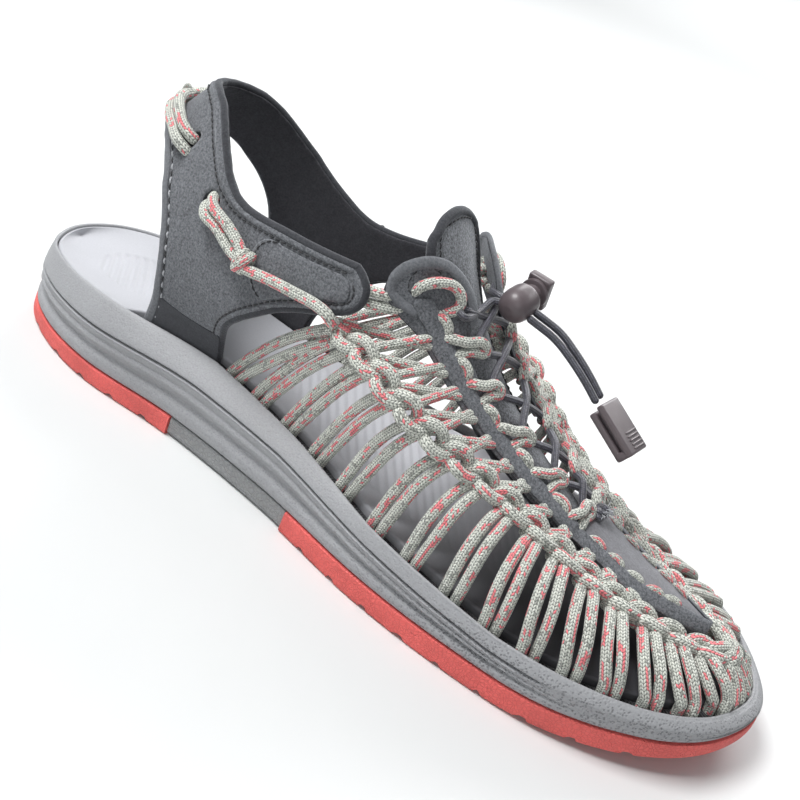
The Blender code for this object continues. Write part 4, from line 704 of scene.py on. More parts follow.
LOW_T = [(2.4, 0.30), (2.7, 0.22), (3.8, 0.18), (4.5, 0.06), (5.2, 0.07), (6.0, 0.10), (7.0, 0.10), (8.5, 0.04), (10.0, 0.02)]
HIGH_T = [(2.4, 0.46), (2.7, 0.48), (4.05, 0.50), (4.9, 0.58), (5.8, 0.60), (6.4, 0.64), (7.2, 0.70), (8.5, 0.66), (10.0, 0.58)]
tab_at = lambda tab, r: float(np.interp(r, [q[0] for q in tab], [q[1] for q in tab]))
def strip_pt(side, r, k, off=0.0):
    """a point across the narrow strip on the eyestay: k 0 at its outer edge, 1 at its inner edge"""
    if r <= 10:
        t = tab_at(LOW_T, r) * (1 - k) + tab_at(HIGH_T, r) * k
        return arm_pt(side, r, t, off)
    return vamp_pt(side, r, k * 4.4 * (1 - 0.25 * smooth((r - 13) / 2)), off)

def strip_normal(side, r):
    a, b = strip_pt(side, r, 0.0), strip_pt(side, r, 1.0)
    d = strip_pt(side, min(r + 0.15, 15), 0.5) - strip_pt(side, max(r - 0.15, 2.4), 0.5)
    n = unit(np.cross(d, b - a))
    return n if n[2] > 0 else -n

# the chain of links along each side, by distance from its upper end
CHAIN_X = np.linspace(129, 269, 500)
CHAIN_P = {s: np.array([chain_pt(x, s) for x in CHAIN_X]) for s in (-1, 1)}
for s in (-1, 1):
    CHAIN_P[s] = np.stack([np.convolve(np.pad(CHAIN_P[s][:, k], 20, mode="reflect", reflect_type="odd"), np.ones(41) / 41, "valid") for k in range(3)], 1)
CHAIN_S = {s: np.r_[0, np.cumsum(np.linalg.norm(np.diff(CHAIN_P[s], axis=0), axis=1))] for s in (-1, 1)}
for s in (-1, 1): CHAIN_S[s] -= np.interp(130, CHAIN_X, CHAIN_S[s])
on_chain = lambda side, s: np.array([np.interp(s, CHAIN_S[side], CHAIN_P[side][:, k]) for k in range(3)])
BASE_OF = lambda x: np.interp(x, [q[1] for q in LINKS], [q[0] for q in LINKS])
PITCH = {s: (CHAIN_S[s][-1] - 8.5) / 14.0 for s in (-1, 1)}
S0 = 9.0

def chain_frame(side, s):
    """point, direction along, towards the sole, and outwards"""
    C = on_chain(side, s); along = unit(on_chain(side, s + 2) - on_chain(side, s - 2))
    down = side_curve(float(BASE_OF(C[0])), C[0], side, 12)
    low = unit(down[-3] - C)
    r = np.interp(C[0], OUT[side][40:, 0], np.arange(len(OUT[side]) - 40)) / 40 + 1
    up = unit(C - pick(OUT[side], min(max(r + 0.9, 1), 15)))
    o = low + up; o = unit(o - (o @ along) * along)
    n = np.cross(along, o); n = n if n @ (outward(C[0], side) + np.array([0, 0, 0.6])) > 0 else -n
    return C, along, o, unit(n)

def bead(side, s, outer, size=1.0):
    """one link of the chain stitch: starts on top, bulges to its side, and ends under the next"""
    C, a, o, n = chain_frame(side, s)
    toe = float(smooth((C[0] - 215) / 45))
    if outer: pts = [(-0.52, 1.6, -1.9), (-0.49, 2.3, 0.3), (-0.34, 2.9 - 0.3 * toe, 1.7), (-0.08, 3.1 - 0.4 * toe, 1.8), (0.18, 2.4 - 0.2 * toe, 1.3), (0.37, 0.8, 0.1), (0.50, -0.7, -1.5)]
    else: pts = [(-0.52, 1.0, -1.9), (-0.44, 0.0, -0.3), (-0.27, -1.5 + 0.2 * toe, 1.2), (-0.03, -2.7 + 0.5 * toe, 1.5), (0.20, -2.8 + 0.5 * toe, 1.2), (0.40, -1.8, 0.2), (0.53, -0.4, -1.7)]
    p = [C + a * t * PITCH[side] + o * q * (1 - 0.1 * toe) + n * h for t, q, h in pts]
    return curve(p, 15), (C, a, o, n)

# ---------------------------------------------------------------- dark tape in the channel
q = {s: EDGE[s] + NORMAL[s] * (bev(EDGE[s][:, 0]) + CH + 0.25)[:, None] for s in (-1, 1)}
tape = np.vstack([q[-1][q[-1][:, 0] >= 60][:-4], q[1][q[1][:, 0] >= 60][::-1][4:]])
tape = spaced(np.c_[tape, rim_z(np.minimum(tape[:, 0], L)) - 3.7], 260)
pile = Pile(); v, f, uv = strip(tape, 4.9, 1.6, (0, 0, 1)); pile.put((v, f, uv))
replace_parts(piece("channel_tape", pile, WEB), "cord_upper")

# ---------------------------------------------------------------- side cords, chain and ribs
STRAND = 3.75
for side, word in ((-1, "lateral"), (1, "medial")):
    pile = Pile()
    for i, (b, l, _) in enumerate(LINKS):
        p = side_curve(b, l, side)
        t, s, u = frames(p, [outward(x[0], side) for x in p])
        k = np.linspace(0, 1, len(p))
        half = 1.95 + 0.45 * bump_at(k, 0.45, 0.3) * (0.4 + 0.6 * smooth((b - 150) / 60)) + 0.12 * math.sin(i * 2.1)
        half = half * (1 - 0.12 * smooth((k - 0.8) / 0.2))
        T = p[-1]
        for e in (-1, 1):
            wob = 0.35 * np.sin(k * math.pi * (1.0 + 0.3 * RNG.random()) + RNG.random() * 2) * np.sin(k * math.pi)
            w = p + s * (e * half + wob)[:, None] + u * (0.35 * np.sin(k * math.pi) * RNG.standard_normal())[:, None]
            w[-1] += -u[-1] * 1.6; w[-2] += -u[-2] * 1.0; w[-3] += -u[-3] * 0.45
            dia = STRAND * np.where(k < 0.12, 0.96, 1.0)
            pile.put(tube(curve(w[::2] if len(w) % 2 else w, 30), dia[0], sides=14, up=[outward(x[0], side) for x in curve(w[::2] if len(w) % 2 else w, 30)], flat=0.94))
    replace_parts(piece("side_cords_" + word, pile, BRAID, weld=0), "cord_upper")

    pile, ribs, holes = Pile(), Pile(), Pile()
    n_out = 15
    shoulders = []
    for m in range(n_out):
        s = S0 + PITCH[side] * m
        p, fr = bead(side, s, True)
        pile.put(tube(p, 3.8 + 0.3 * smooth((fr[0][0] - 215) / 40), sides=14, up=fr[3]))
        if m < n_out - 1:
            p, fr = bead(side, s + PITCH[side] * 0.5, False)
            pile.put(tube(p, 3.5 + 0.2 * smooth((fr[0][0] - 215) / 40), sides=14, up=fr[3]))
            shoulders.append(fr)
    # the cord's upper end, which comes down from the strap's tab
    C, a, o, n = chain_frame(side, 0.6)
    top = (C, a, o, n)
    edge_x = [155, 162.6, 169, 176, 184, 192, 199, 208, 216, 225, 233, 241]
    for k, x in enumerate(edge_x):
        r = float(np.interp(x, OUT[side][40 * 3:, 0], np.arange(40 * 3, len(OUT[side])) / 40))
        H = strip_pt(side, r, 0.16, 0.0); hn = strip_normal(side, r)
        d = unit(strip_pt(side, r + 0.1, 0.1) - strip_pt(side, r - 0.1, 0.1)); inw = unit(strip_pt(side, r, 0.9) - strip_pt(side, r, 0.1))
        for which in (k, k - 1):
            src = top if which < 0 else shoulders[which]
            C, a, o, n = src
            if which == k: st, end = C + a * 0.10 * PITCH[side] - o * 1.2 - n * 0.3, H - d * 1.2
            else: st, end = C + a * (0.38 if which >= 0 else 0.0) * PITCH[side] - o * (1.0 if which >= 0 else 0.0) - n * 0.2, H + d * 1.2
            span = np.linalg.norm(end - st); h = min(1.0, span / 10)
            lift = (n * 0.5 + hn * 0.5)
            m1, m2 = st * 0.66 + end * 0.34 + lift * 0.75 * h, st * 0.3 + end * 0.7 + lift * 0.8 * h
            p = [st - lift * 0.8, st + (m1 - st) * 0.3, m1, m2, end - inw * 0.6 + hn * 0.15, end + inw * 1.5 - hn * 1.9]
            ribs.put(tube(curve(p, 16), np.interp(np.linspace(0, 1, 16), [0, .7, 1], [3.1, 3.1, 2.4]), sides=14, up=lift))
        # the punched hole's dark rim
        ring = [H + inw * 0.9 + hn * 0.62 + d * 2.4 * math.cos(q) + inw * 1.25 * math.sin(q) for q in np.linspace(-0.25, math.pi + 0.25, 12)]
        holes.put(tube(np.array(ring), 0.75, sides=8, up=hn, flat=0.6))
    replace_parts(piece("chain_" + word, pile, BRAID), "cord_upper")
    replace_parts(piece("ribs_" + word, ribs, BRAID), "cord_upper")
    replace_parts(piece("hole_rims_" + word, holes, DARK_EDGE_AND_SHADE), "vamp_eyestay")

# the two chains meet in a knot at the toe
A, B = on_chain(-1, CHAIN_S[-1][-1]), on_chain(1, CHAIN_S[1][-1])
M = (A + B) / 2 + np.array([3.0, 0, -0.5])
pile = Pile()
for pts in ([A + [-5, -1.2, 0.6], A + [-1, -0.5, 2.0], M + [-1.0, -1.5, 2.6], M + [1.5, 1.8, 1.6], B + [0.5, 2.2, 0.2], B + [-4, 2.5, -0.6]],
            [B + [-6, 0.8, 0.6], B + [-2, 0, 2.2], M + [-1.5, 1.6, 2.9], M + [1.4, -1.6, 1.8], A + [1.5, -2.6, -0.2], A + [-2, -4.0, -1.0]],
            [M + [-1.0, -5.2, -0.6], M + [2.2, -3.6, 0.4], M + [3.4, 0.2, 0.9], M + [2.4, 3.9, 0.3], M + [-0.8, 5.6, -0.8]]):
    pile.put(tube(curve(pts, 22), 3.7, sides=14))
pile.put(blob(M + [3.2, 4.6, -0.3], 2.4, (1.0, 1.1, 0.9)))
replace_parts(piece("toe_knot", pile, BRAID), "cord_upper")

# the cords that close the front of the toe, from the knot down into the channel
q = np.vstack([EDGE[s] + NORMAL[s] * (bev(EDGE[s][:, 0]) + CH)[:, None] for s in (-1, 1)])
q = q[q[:, 0] > 268]; q = q[np.argsort(q[:, 1])]
pile = Pile()
for k, y in enumerate((-5.2, -1.1, 3.4, 7.6, 12.0)):
    foot = np.array([float(np.interp(y, q[:, 1], q[:, 0])), y, float(rim_z(L)) - 4.0])
    head = M + np.array([0.6 + 0.3 * (k % 2), (y - 3.6) * 0.46, -0.8])
    pts = [foot, foot + [0.5, 0.0, 3.4], (foot + head) / 2 + [2.4, 0.0, 2.0], head + [2.0, (y - 3.6) * 0.08, 0.4], head + [-1.0, 0.0, -0.4]]
    pile.put(tube(curve(pts, 26), 3.7, sides=14, up=(1.0, 0.0, 0.6), flat=0.94))
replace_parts(piece("toe_cords", pile, BRAID), "cord_upper")

# ---------------------------------------------------------------- eyestays and vamp
def sheet(name, P, thick, mat, node, levels=1, rim=None):
    """a grid of points given a thickness and rounded edges"""
    P = np.asarray(P, float); r, c = P.shape[:2]
    f = [(i * c + j, i * c + j + 1, (i + 1) * c + j + 1, (i + 1) * c + j) for i in range(r - 1) for j in range(c - 1)]
    ob = piece(name, (P.reshape(-1, 3), f), mat, smooth_deg=0, fix=False)
    m = ob.modifiers.new("wall", "SOLIDIFY"); m.thickness, m.offset = thick * MM, 0.0
    if rim: ob.data.materials.append(rim); m.material_offset_rim = 1
    m = ob.modifiers.new("soft", "SUBSURF"); m.levels = m.render_levels = levels
    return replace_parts(ob, *([node] if isinstance(node, str) else node))

def dashes(pile_a, pile_b, path, up, every=2.6, long=1.7, dia=0.55, lift=0.12):
    """a row of stitches, in alternating threads where two piles are given"""
    n = max(2, int(length_of(path) / every)); s = np.r_[0, np.cumsum(np.linalg.norm(np.diff(path, axis=0), axis=1))]
    ups = np.broadcast_to(np.asarray(up, float), path.shape)
    at = lambda d, tab: np.array([np.interp(d, s, tab[:, k]) for k in range(3)])
    for i in range(n):
        d0 = (i + 0.15) * every
        ds = np.linspace(d0, d0 + long, 5)
        pts = np.array([at(d, path) + unit(at(d, ups)) * (lift - 0.35 * abs(2 * j / 4 - 1) ** 2) for j, d in enumerate(ds)])
        (pile_a if i % 2 or pile_b is None else pile_b).put(tube(pts, dia, sides=6, up=unit(at(ds[2], ups)), cap=1))

seam_dark, seam_light = Pile(), Pile()
for side, word in ((-1, "lateral"), (1, "medial")):
    R = np.r_[np.linspace(0, 3, 16), np.linspace(3.2, 10, 50)]
    # the sheets' cut edges take the dark edge material as painted edge shade
    sheet("eyestay_" + word, [[arm_pt(side, r, t, -0.35) for t in np.linspace(0.02, 0.98, 9)] for r in R], 1.3, SUEDE, "vamp_eyestay", rim=DARK_EDGE_AND_SHADE)
    R = np.r_[np.linspace(2.45, 10, 70), np.linspace(10.1, 15, 44)]
    sheet("eyestay_strip_" + word, [[strip_pt(side, r, k, 0.55 + 0.25 * math.sin(math.pi * k)) for k in np.linspace(0, 1, 7)] for r in R], 1.15, SUEDE, "vamp_eyestay", rim=DARK_EDGE_AND_SHADE)
    ring = [(3.4, .95), (2.9, .94), (2.3, .92), (1.6, .90), (1.0, .87), (.5, .80), (.22, .62), (.2, .42), (.42, .22), (.9, .13), (1.5, .09), (2.1, .09), (2.6, .13), (2.95, .2)]
    pts = curve([arm_pt(side, r, t, 0.45) for r, t in ring], 60)
    nn = [panel_normal(p[0], side) for p in pts]
    pile = Pile().put(tube(pts, 3.6, sides=12, up=nn, flat=0.42))
    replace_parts(piece("eyestay_binding_" + word, pile, BINDING), "vamp_eyestay")
    ring = [(3.3, .78), (2.7, .76), (2.1, .73), (1.5, .68), (1.05, .60), (.98, .48), (1.15, .36), (1.6, .28), (2.1, .26), (2.4, .3)]
    pts = curve([arm_pt(side, r, t, 0.42) for r, t in ring], 60)
    dashes(seam_dark, None, pts, [panel_normal(p[0], side) for p in pts], every=2.1, long=1.5, dia=0.5)

rows = []
for r in np.linspace(10, 15, 36):
    w = np.linalg.norm(((OUT[1][int(r * 40)] + OUT[-1][int(r * 40)]) / 2 - OUT[-1][int(r * 40)])[:2])
    near = [vamp_pt(-1, r, w * k, -0.2) for k in np.linspace(0.02, 1, 9)]; far = [vamp_pt(1, r, w * k, -0.2) for k in np.linspace(0.02, 1, 9)][::-1]
    rows.append(near + far[1:])
VAMP_GREY = suede("smooth_vamp", srgb(122, 122, 126), mottle=0.16, nap=0.15, rough=0.75)
sheet("vamp_panel", rows, 1.4, VAMP_GREY, "vamp_eyestay", rim=DARK_EDGE_AND_SHADE)
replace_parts(piece("eyestay_stitches", seam_dark, THREAD_DARK), "vamp_eyestay")

# short links and loops along the strip's inner edge
LOOPS = [(4.15, 4.85, (167.8, 76.9)), (5.85, 6.45, (177.0, 67.3)), (7.25, 7.75, (191.5, 58.4)), (8.5, 9.0, (205.5, 51.4)), (9.72, 10.15, (217.0, 46.7))]
SHORT = [3.55, 5.35, 6.85, 8.13, 9.38, 10.75, 11.35, 11.95, 12.6, 13.2]
def lace_at(side, x, z):
    i = INN[side]; k = i[:, 0] > 155
    return np.array([x, float(np.interp(x, i[k, 0], i[k, 1])) - side * 2.6, z])
for side, word in ((-1, "lateral"), (1, "medial")):
    pile = Pile()
    for j, r in enumerate(SHORT):
        c = strip_pt(side, r, 1.0, 0.6); n = strip_normal(side, r)
        d = unit(strip_pt(side, r + 0.1, 1.0) - strip_pt(side, r - 0.1, 1.0)); w = unit(strip_pt(side, r, 1.0) - strip_pt(side, r, 0.0))
        flat = smooth((r - 10.2) / 0.6)
        half, up, dia = 3.3 - 0.4 * flat, 0.5 - 0.15 * flat, 3.2 - 0.9 * flat
        p = [c - d * half - w * 0.9 - n * 1.6, c - d * half * 0.66 + w * 0.2 + n * up * 0.3, c + w * 0.7 + n * up, c + d * half * 0.66 + w * 0.2 + n * up * 0.3, c + d * half - w * 0.9 - n * 1.6]
        pile.put(tube(curve(p, 13), dia, sides=14, up=n, flat=1 - 0.3 * flat))
    for r1, r2, (lx, lz) in LOOPS:
        a, b = strip_pt(side, r1, 0.86, -0.4), strip_pt(side, r2, 0.86, -0.4)
        n = strip_normal(side, (r1 + r2) / 2); w = unit(strip_pt(side, r1, 1.0) - strip_pt(side, r1, 0.0))
        T = lace_at(side, lx, lz); tip_at = T + w * 1.5 + n * 0.6
        d = unit(b - a)
        p = [a - w * 1.2 - n * 0.9, a + w * 1.0 + n * 1.0, (a + tip_at) / 2 - d * 0.2 + n * 1.9, tip_at - d * 1.8 - w * 0.8 + n * 0.9, tip_at + n * 0.1, tip_at + d * 1.8 - w * 0.8 - n * 0.6, (b + tip_at) / 2 + d * 0.1 + n * 0.5, b + w * 1.0 + n * 0.2, b - w * 1.2 - n * 1.0]
        pile.put(tube(curve(p, 30), 3.3, sides=14, up=n))
    # the loop through the top of the eyestay
    p = [arm_pt(side, r, t, h) for r, t, h in ((2.12, .34, -1.0), (2.02, .38, 1.0), (1.95, .5, 2.2), (1.98, .64, 2.3), (2.15, .74, 2.0), (2.5, .77, 1.6), (2.8, .74, 0.9), (3.0, .66, 0.2), (3.05, .58, -0.8))]
    pile.put(tube(curve(p, 26), 3.4, sides=14, up=panel_normal(150, side)))
    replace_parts(piece("loops_" + word, pile, BRAID), "cord_upper", "vamp_eyestay")

# ---------------------------------------------------------------- heel strap
def ankle_y(x, z, side):
    x, z = float(x), float(z)
    d = max(0.0, x - look(ANKLE, z, 1))
    y = look(ANKLE_D, d, 1) + look(ANKLE, z, 2 if side < 0 else 3) * min(1, d / 15)
    k = float(smooth((56 - z) / 26)) * float(smooth((x - 40) / 22))
    b = abs(float(inset_y(x, lambda q: bev(q) + CH, side)))
    return side * float((1 - k) * max(0.0, y) + k * b)

RUN = spaced([(d, w) for d, w in spline(ANKLE_D, 200)], 400)
RUN_S = np.r_[0, np.cumsum(np.linalg.norm(np.diff(RUN, axis=0), axis=1))]
def run_of(x, z): return float(np.interp(x - look(ANKLE, z, 1), RUN[:, 0], RUN_S))
def wrap(s, z):
    side = -1 if s < 0 else 1
    x = float(np.interp(abs(s), RUN_S, RUN[:, 0]) + look(ANKLE, z, 1))
    return np.array([x, ankle_y(x, z, side), z])
def strap_normal(s, z, h=2.2):
    return unit(np.cross(wrap(s, z + h) - wrap(s, z - h), wrap(s + h, z) - wrap(s - h, z)))
def strap_pt(s, z, off=0.0): return wrap(s, z) + strap_normal(s, z) * off
def on_strap(x, z, side, off): return strap_pt(side * run_of(x, z), z, off)

def inside(p, poly):
    x, y = p; odd = False
    for (x0, y0), (x1, y1) in zip(poly, poly[1:] + poly[:1]):
        if (y0 > y) != (y1 > y) and x < (x1 - x0) * (y - y0) / (y1 - y0) + x0: odd = not odd
    return odd

def flat_pattern(outline, holes, step, lines=()):
    """triangles over a flat outline with holes"""
    pts = [Vector(p) for p in outline]
    edges = [(i, (i + 1) % len(outline)) for i in range(len(outline))]
    for h in holes:
        k = len(pts); pts += [Vector(p) for p in h]
        edges += [(k + i, k + (i + 1) % len(h)) for i in range(len(h))]
    for h in lines:
        k = len(pts); pts += [Vector(p) for p in h]
        edges += [(k + i, k + i + 1) for i in range(len(h) - 1)]
    fixed = np.array([tuple(p) for p in pts]); a = np.array(outline)
    for j, sz in enumerate(np.arange(a[:, 1].min(), a[:, 1].max(), step * 0.87)):
        for sx in np.arange(a[:, 0].min() + (j % 2) * step / 2, a[:, 0].max(), step):
            if np.hypot(fixed[:, 0] - sx, fixed[:, 1] - sz).min() < 0.55 * step: continue
            if not inside((sx, sz), outline) or any(inside((sx, sz), h) for h in holes): continue
            pts.append(Vector((sx, sz)))
    v, e, f, *_ = delaunay_2d_cdt(pts, edges, [], 0, 1e-5)
    mid = lambda t: sum((v[i] for i in t), Vector((0, 0))) / 3
    f = [t for t in f if inside(mid(t), outline) and not any(inside(mid(t), h) for h in holes)]
    used = sorted({i for t in f for i in t}); new = {i: k for k, i in enumerate(used)}
    return [tuple(v[i]) for i in used], [tuple(new[i] for i in t) for t in f]

def oval(s, z, wide, high, turn=0.0, n=16):
    c, d = math.cos(turn), math.sin(turn)
    q = [(math.cos(t) * wide / 2, math.sin(t) * high / 2) for t in np.arange(n) * 2 * math.pi / n]
    return [(s + x * c - y * d, z + x * d + y * c) for x, y in q]

flat = {}
for side, tab in ((-1, STRAP_LATERAL), (1, STRAP_MEDIAL)):
    for key in ("rear", "front", "top"):
        flat[side, key] = np.array([(side * run_of(x, z), z) for x, z in spline(tab[key], 80)])
    ends = [tab["front"][-1]] + tab["end"] + [tab["top"][0]]
    flat[side, "end"] = np.array([(side * run_of(x, z), z) for x, z in spline(ends, 24)])
REAR = np.vstack([flat[-1, "rear"], [(0.0, STRAP_BACK[3])], flat[1, "rear"][::-1]])
TOP = np.vstack([flat[-1, "top"], [(0.0, STRAP_BACK[1])], flat[1, "top"][::-1]])
REAR, TOP = curve(REAR[::6], 120), curve(TOP[::5], 130)
FRONT = {s: curve(np.vstack([flat[s, "front"][:-1][::4], flat[s, "end"][::3]]), 70) for s in (-1, 1)}
OUTLINE_FLAT = [tuple(p) for p in np.vstack([REAR[::-1], FRONT[-1][1:], TOP[1:], FRONT[1][::-1][1:-1]])]
def inset_line(line, d):
    """the edge moved inwards on the flat pattern"""
    line = np.asarray(line); t = unit(np.gradient(line, axis=0)); n = np.stack([-t[:, 1], t[:, 0]], 1)
    k = len(line) // 2
    if not inside(tuple(line[k] + n[k] * 1.5), OUTLINE_FLAT): n = -n
    return line + n * d
def lifted(line, off, n=None):
    p = np.array([strap_pt(s, z, off) for s, z in line])
    return p if n is None else curve(p, n)
def ups(line): return np.array([strap_normal(s, z) for s, z in line])

cuts = []
for side in (-1, 1):
    drop = 0 if side < 0 else -4.5
    cuts.append(oval(side * run_of(WING_SLOT[0], WING_SLOT[1] + drop), WING_SLOT[1] + drop, 5.2, 8.6, side * 0.75))
    cuts.append(oval(side * run_of(*BACK_SLOT[side]), BACK_SLOT[side][1], 5.0, 8.8, side * 0.2))
fv, ff = flat_pattern(OUTLINE_FLAT, cuts, 2.3)
V = np.array([wrap(s, z) for s, z in fv])
bm = bmesh.new(); bv = [bm.verts.new(p) for p in V]; [bm.faces.new([bv[i] for i in t]) for t in ff]
inner_verts = [w for w in bm.verts if not w.is_boundary]
for _ in range(6): bmesh.ops.smooth_vert(bm, verts=inner_verts, factor=0.5, use_axis_x=True, use_axis_y=True, use_axis_z=True)
V = np.array([w.co[:] for w in bm.verts]); bm.free()
tri = np.array(ff); fn = np.cross(V[tri[:, 1]] - V[tri[:, 0]], V[tri[:, 2]] - V[tri[:, 0]]); mid = V[tri].mean(1)
flip = (fn * (mid - [85, 0, 0]) * [0.3, 1, 0]).sum(1) < 0
ff = [t[::-1] if w else t for t, w in zip(ff, np.full(len(ff), flip.mean() > 0.5))]
strap = piece("heel_strap_skin", (V, ff), SUEDE, smooth_deg=0, fix=False)
strap.data.materials.append(LINING); strap.data.materials.append(DARK_EDGE_AND_SHADE); strap.data.materials.append(SMOOTH_PATCH_AND_SHADE)
m = strap.modifiers.new("wall", "SOLIDIFY"); m.thickness, m.offset, m.material_offset, m.material_offset_rim = WALL * MM, 0.0, 1, 2
m = strap.modifiers.new("soft", "SUBSURF"); m.levels = m.render_levels = 1
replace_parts(strap, "heel_strap")

lv, lf = flat_pattern([tuple(p) for p in OUTLINE_FLAT], [], 4.6)
keep = np.array([strap_pt(a, b, -WALL / 2 - 0.35) for a, b in lv])
ob = piece("strap_lining", (keep, lf), LINING, smooth_deg=0, fix=False)
m = ob.modifiers.new("wall", "SOLIDIFY"); m.thickness, m.offset = 0.8 * MM, 0.0
m = ob.modifiers.new("soft", "SUBSURF"); m.levels = m.render_levels = 1
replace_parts(ob, "heel_strap")

H = WALL / 2
dark, light, roll, rear_roll, second = Pile(), Pile(), Pile(), Pile(), Pile()
rear_roll.put(tube(lifted(inset_line(REAR, 0.55), 0.0, 150), WALL + 0.55, sides=12, up=None))
rear_roll.put(strip(lifted(inset_line(REAR, 1.55), H + 0.12), 2.5, 0.75, ups(inset_line(REAR, 1.55))))
q = inset_line(REAR, 3.35); dashes(light, dark, lifted(q, H + 0.1), ups(q), every=2.15, long=1.55, dia=0.6)
roll.put(tube(lifted(inset_line(TOP, 0.45), 0.1, 160), WALL + 0.1, sides=12))
second.put(tube(lifted(inset_line(TOP, 2.0), H - 0.05), 1.7, sides=10, up=ups(inset_line(TOP, 2.0)), flat=0.55))
q = inset_line(TOP, 3.4); dashes(dark, None, lifted(q, H + 0.1), ups(q), every=2.3, long=1.7, dia=0.62)
for s in (-1, 1):
    roll.put(tube(lifted(inset_line(FRONT[s], 0.5), 0.0, 90), WALL + 0.15, sides=12))
    second.put(tube(lifted(inset_line(FRONT[s][:-10], 1.9), H - 0.1), 1.5, sides=10, up=ups(inset_line(FRONT[s][:-10], 1.9)), flat=0.5))
    q = inset_line(FRONT[s], 3.1)[2:-4]; dashes(dark, None, lifted(q, H + 0.1), ups(q), every=2.3, long=1.7, dia=0.6)
for nm, pl, mt in (("strap_rear_binding", rear_roll, BINDING), ("strap_top_roll", roll, DARK_EDGE_AND_SHADE), ("strap_second_roll", second, SUEDE)):
    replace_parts(piece(nm, pl, mt), "heel_strap")

# the tab's overlay and the smooth patch at the foot of each wing, darker partly by its own colour and partly as painted
# shade
for side, word in ((-1, "lateral"), (1, "medial")):
    dz = 0 if side < 0 else -9.0
    back_line = [(103.6, 82.6), (100.6, 81.4), (98.3, 78.8), (97.4, 75.2), (98.3, 70.6), (101.6, 66.0), (106.0, 64.2)]
    back_line = np.array([(side * run_of(x, z + dz * (0.75 if z > 75 else 0.6)), z + dz * (0.75 if z > 75 else 0.6)) for x, z in back_line])
    top_in = inset_line(TOP, 4.3); top_in = top_in[:60] if side < 0 else top_in[::-1][:60]
    low_in = inset_line(FRONT[side], 3.9)
    a = top_in[np.abs(top_in[:, 0]) > abs(back_line[0][0]) + 1.0][::-1]
    b = low_in[np.abs(low_in[:, 0]) > abs(back_line[-1][0]) + 1.5]
    ring = curve(np.vstack([back_line, b[1:-2:3], a[::-1][3::3]]), 110)
    ring = [tuple(p) for p in np.vstack([ring, ring[:1]])[:-1]]
    ov, of_ = flat_pattern(ring, [], 2.6)
    P = np.array([strap_pt(s, z, H + 0.25) for s, z in ov])
    ob = piece("tab_overlay_" + word, (P, of_), SUEDE, smooth_deg=0, fix=False)
    m = ob.modifiers.new("wall", "SOLIDIFY"); m.thickness, m.offset = 0.9 * MM, 0.0
    m = ob.modifiers.new("soft", "SUBSURF"); m.levels = m.render_levels = 1
    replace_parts(ob, "heel_strap")
    q = curve(back_line, 30); q = q + unit(np.array([side * 1.0, 0.0])) * 1.5
    dashes(dark, None, lifted(q, H + 0.75), ups(q), every=2.2, long=1.6, dia=0.55)
    back, fore = (-2.0, -3.3) if side < 0 else (0.0, 0.0)
    g = [[(side * (abs(s0) + (abs(s1) - abs(s0)) * k), z) for k in np.linspace(0, 1, 14)] for z, s0, s1 in
         ((z, run_of(r0 + back, z), run_of(f0 + fore, z)) for z, r0, f0 in ((26.5, 65.8, 95.9), (30, 66, 95.9), (34, 66, 95.9), (38, 65.8, 96.0), (42, 65.4, 96.6)))]
    P = [[strap_pt(s, z + (1.6 * math.sin(math.pi * j / 13) * -1 if i == 4 else 0), H + 0.12) for j, (s, z) in enumerate(row)] for i, row in enumerate(g)]
    sheet("base_patch_" + word, P, 0.5, SMOOTH_PATCH_AND_SHADE, "heel_strap", rim=DARK_EDGE_AND_SHADE)
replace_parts(piece("strap_stitches_dark", dark, THREAD_DARK), "heel_strap")
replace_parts(piece("strap_stitches_light", light, THREAD_LIGHT), "heel_strap")

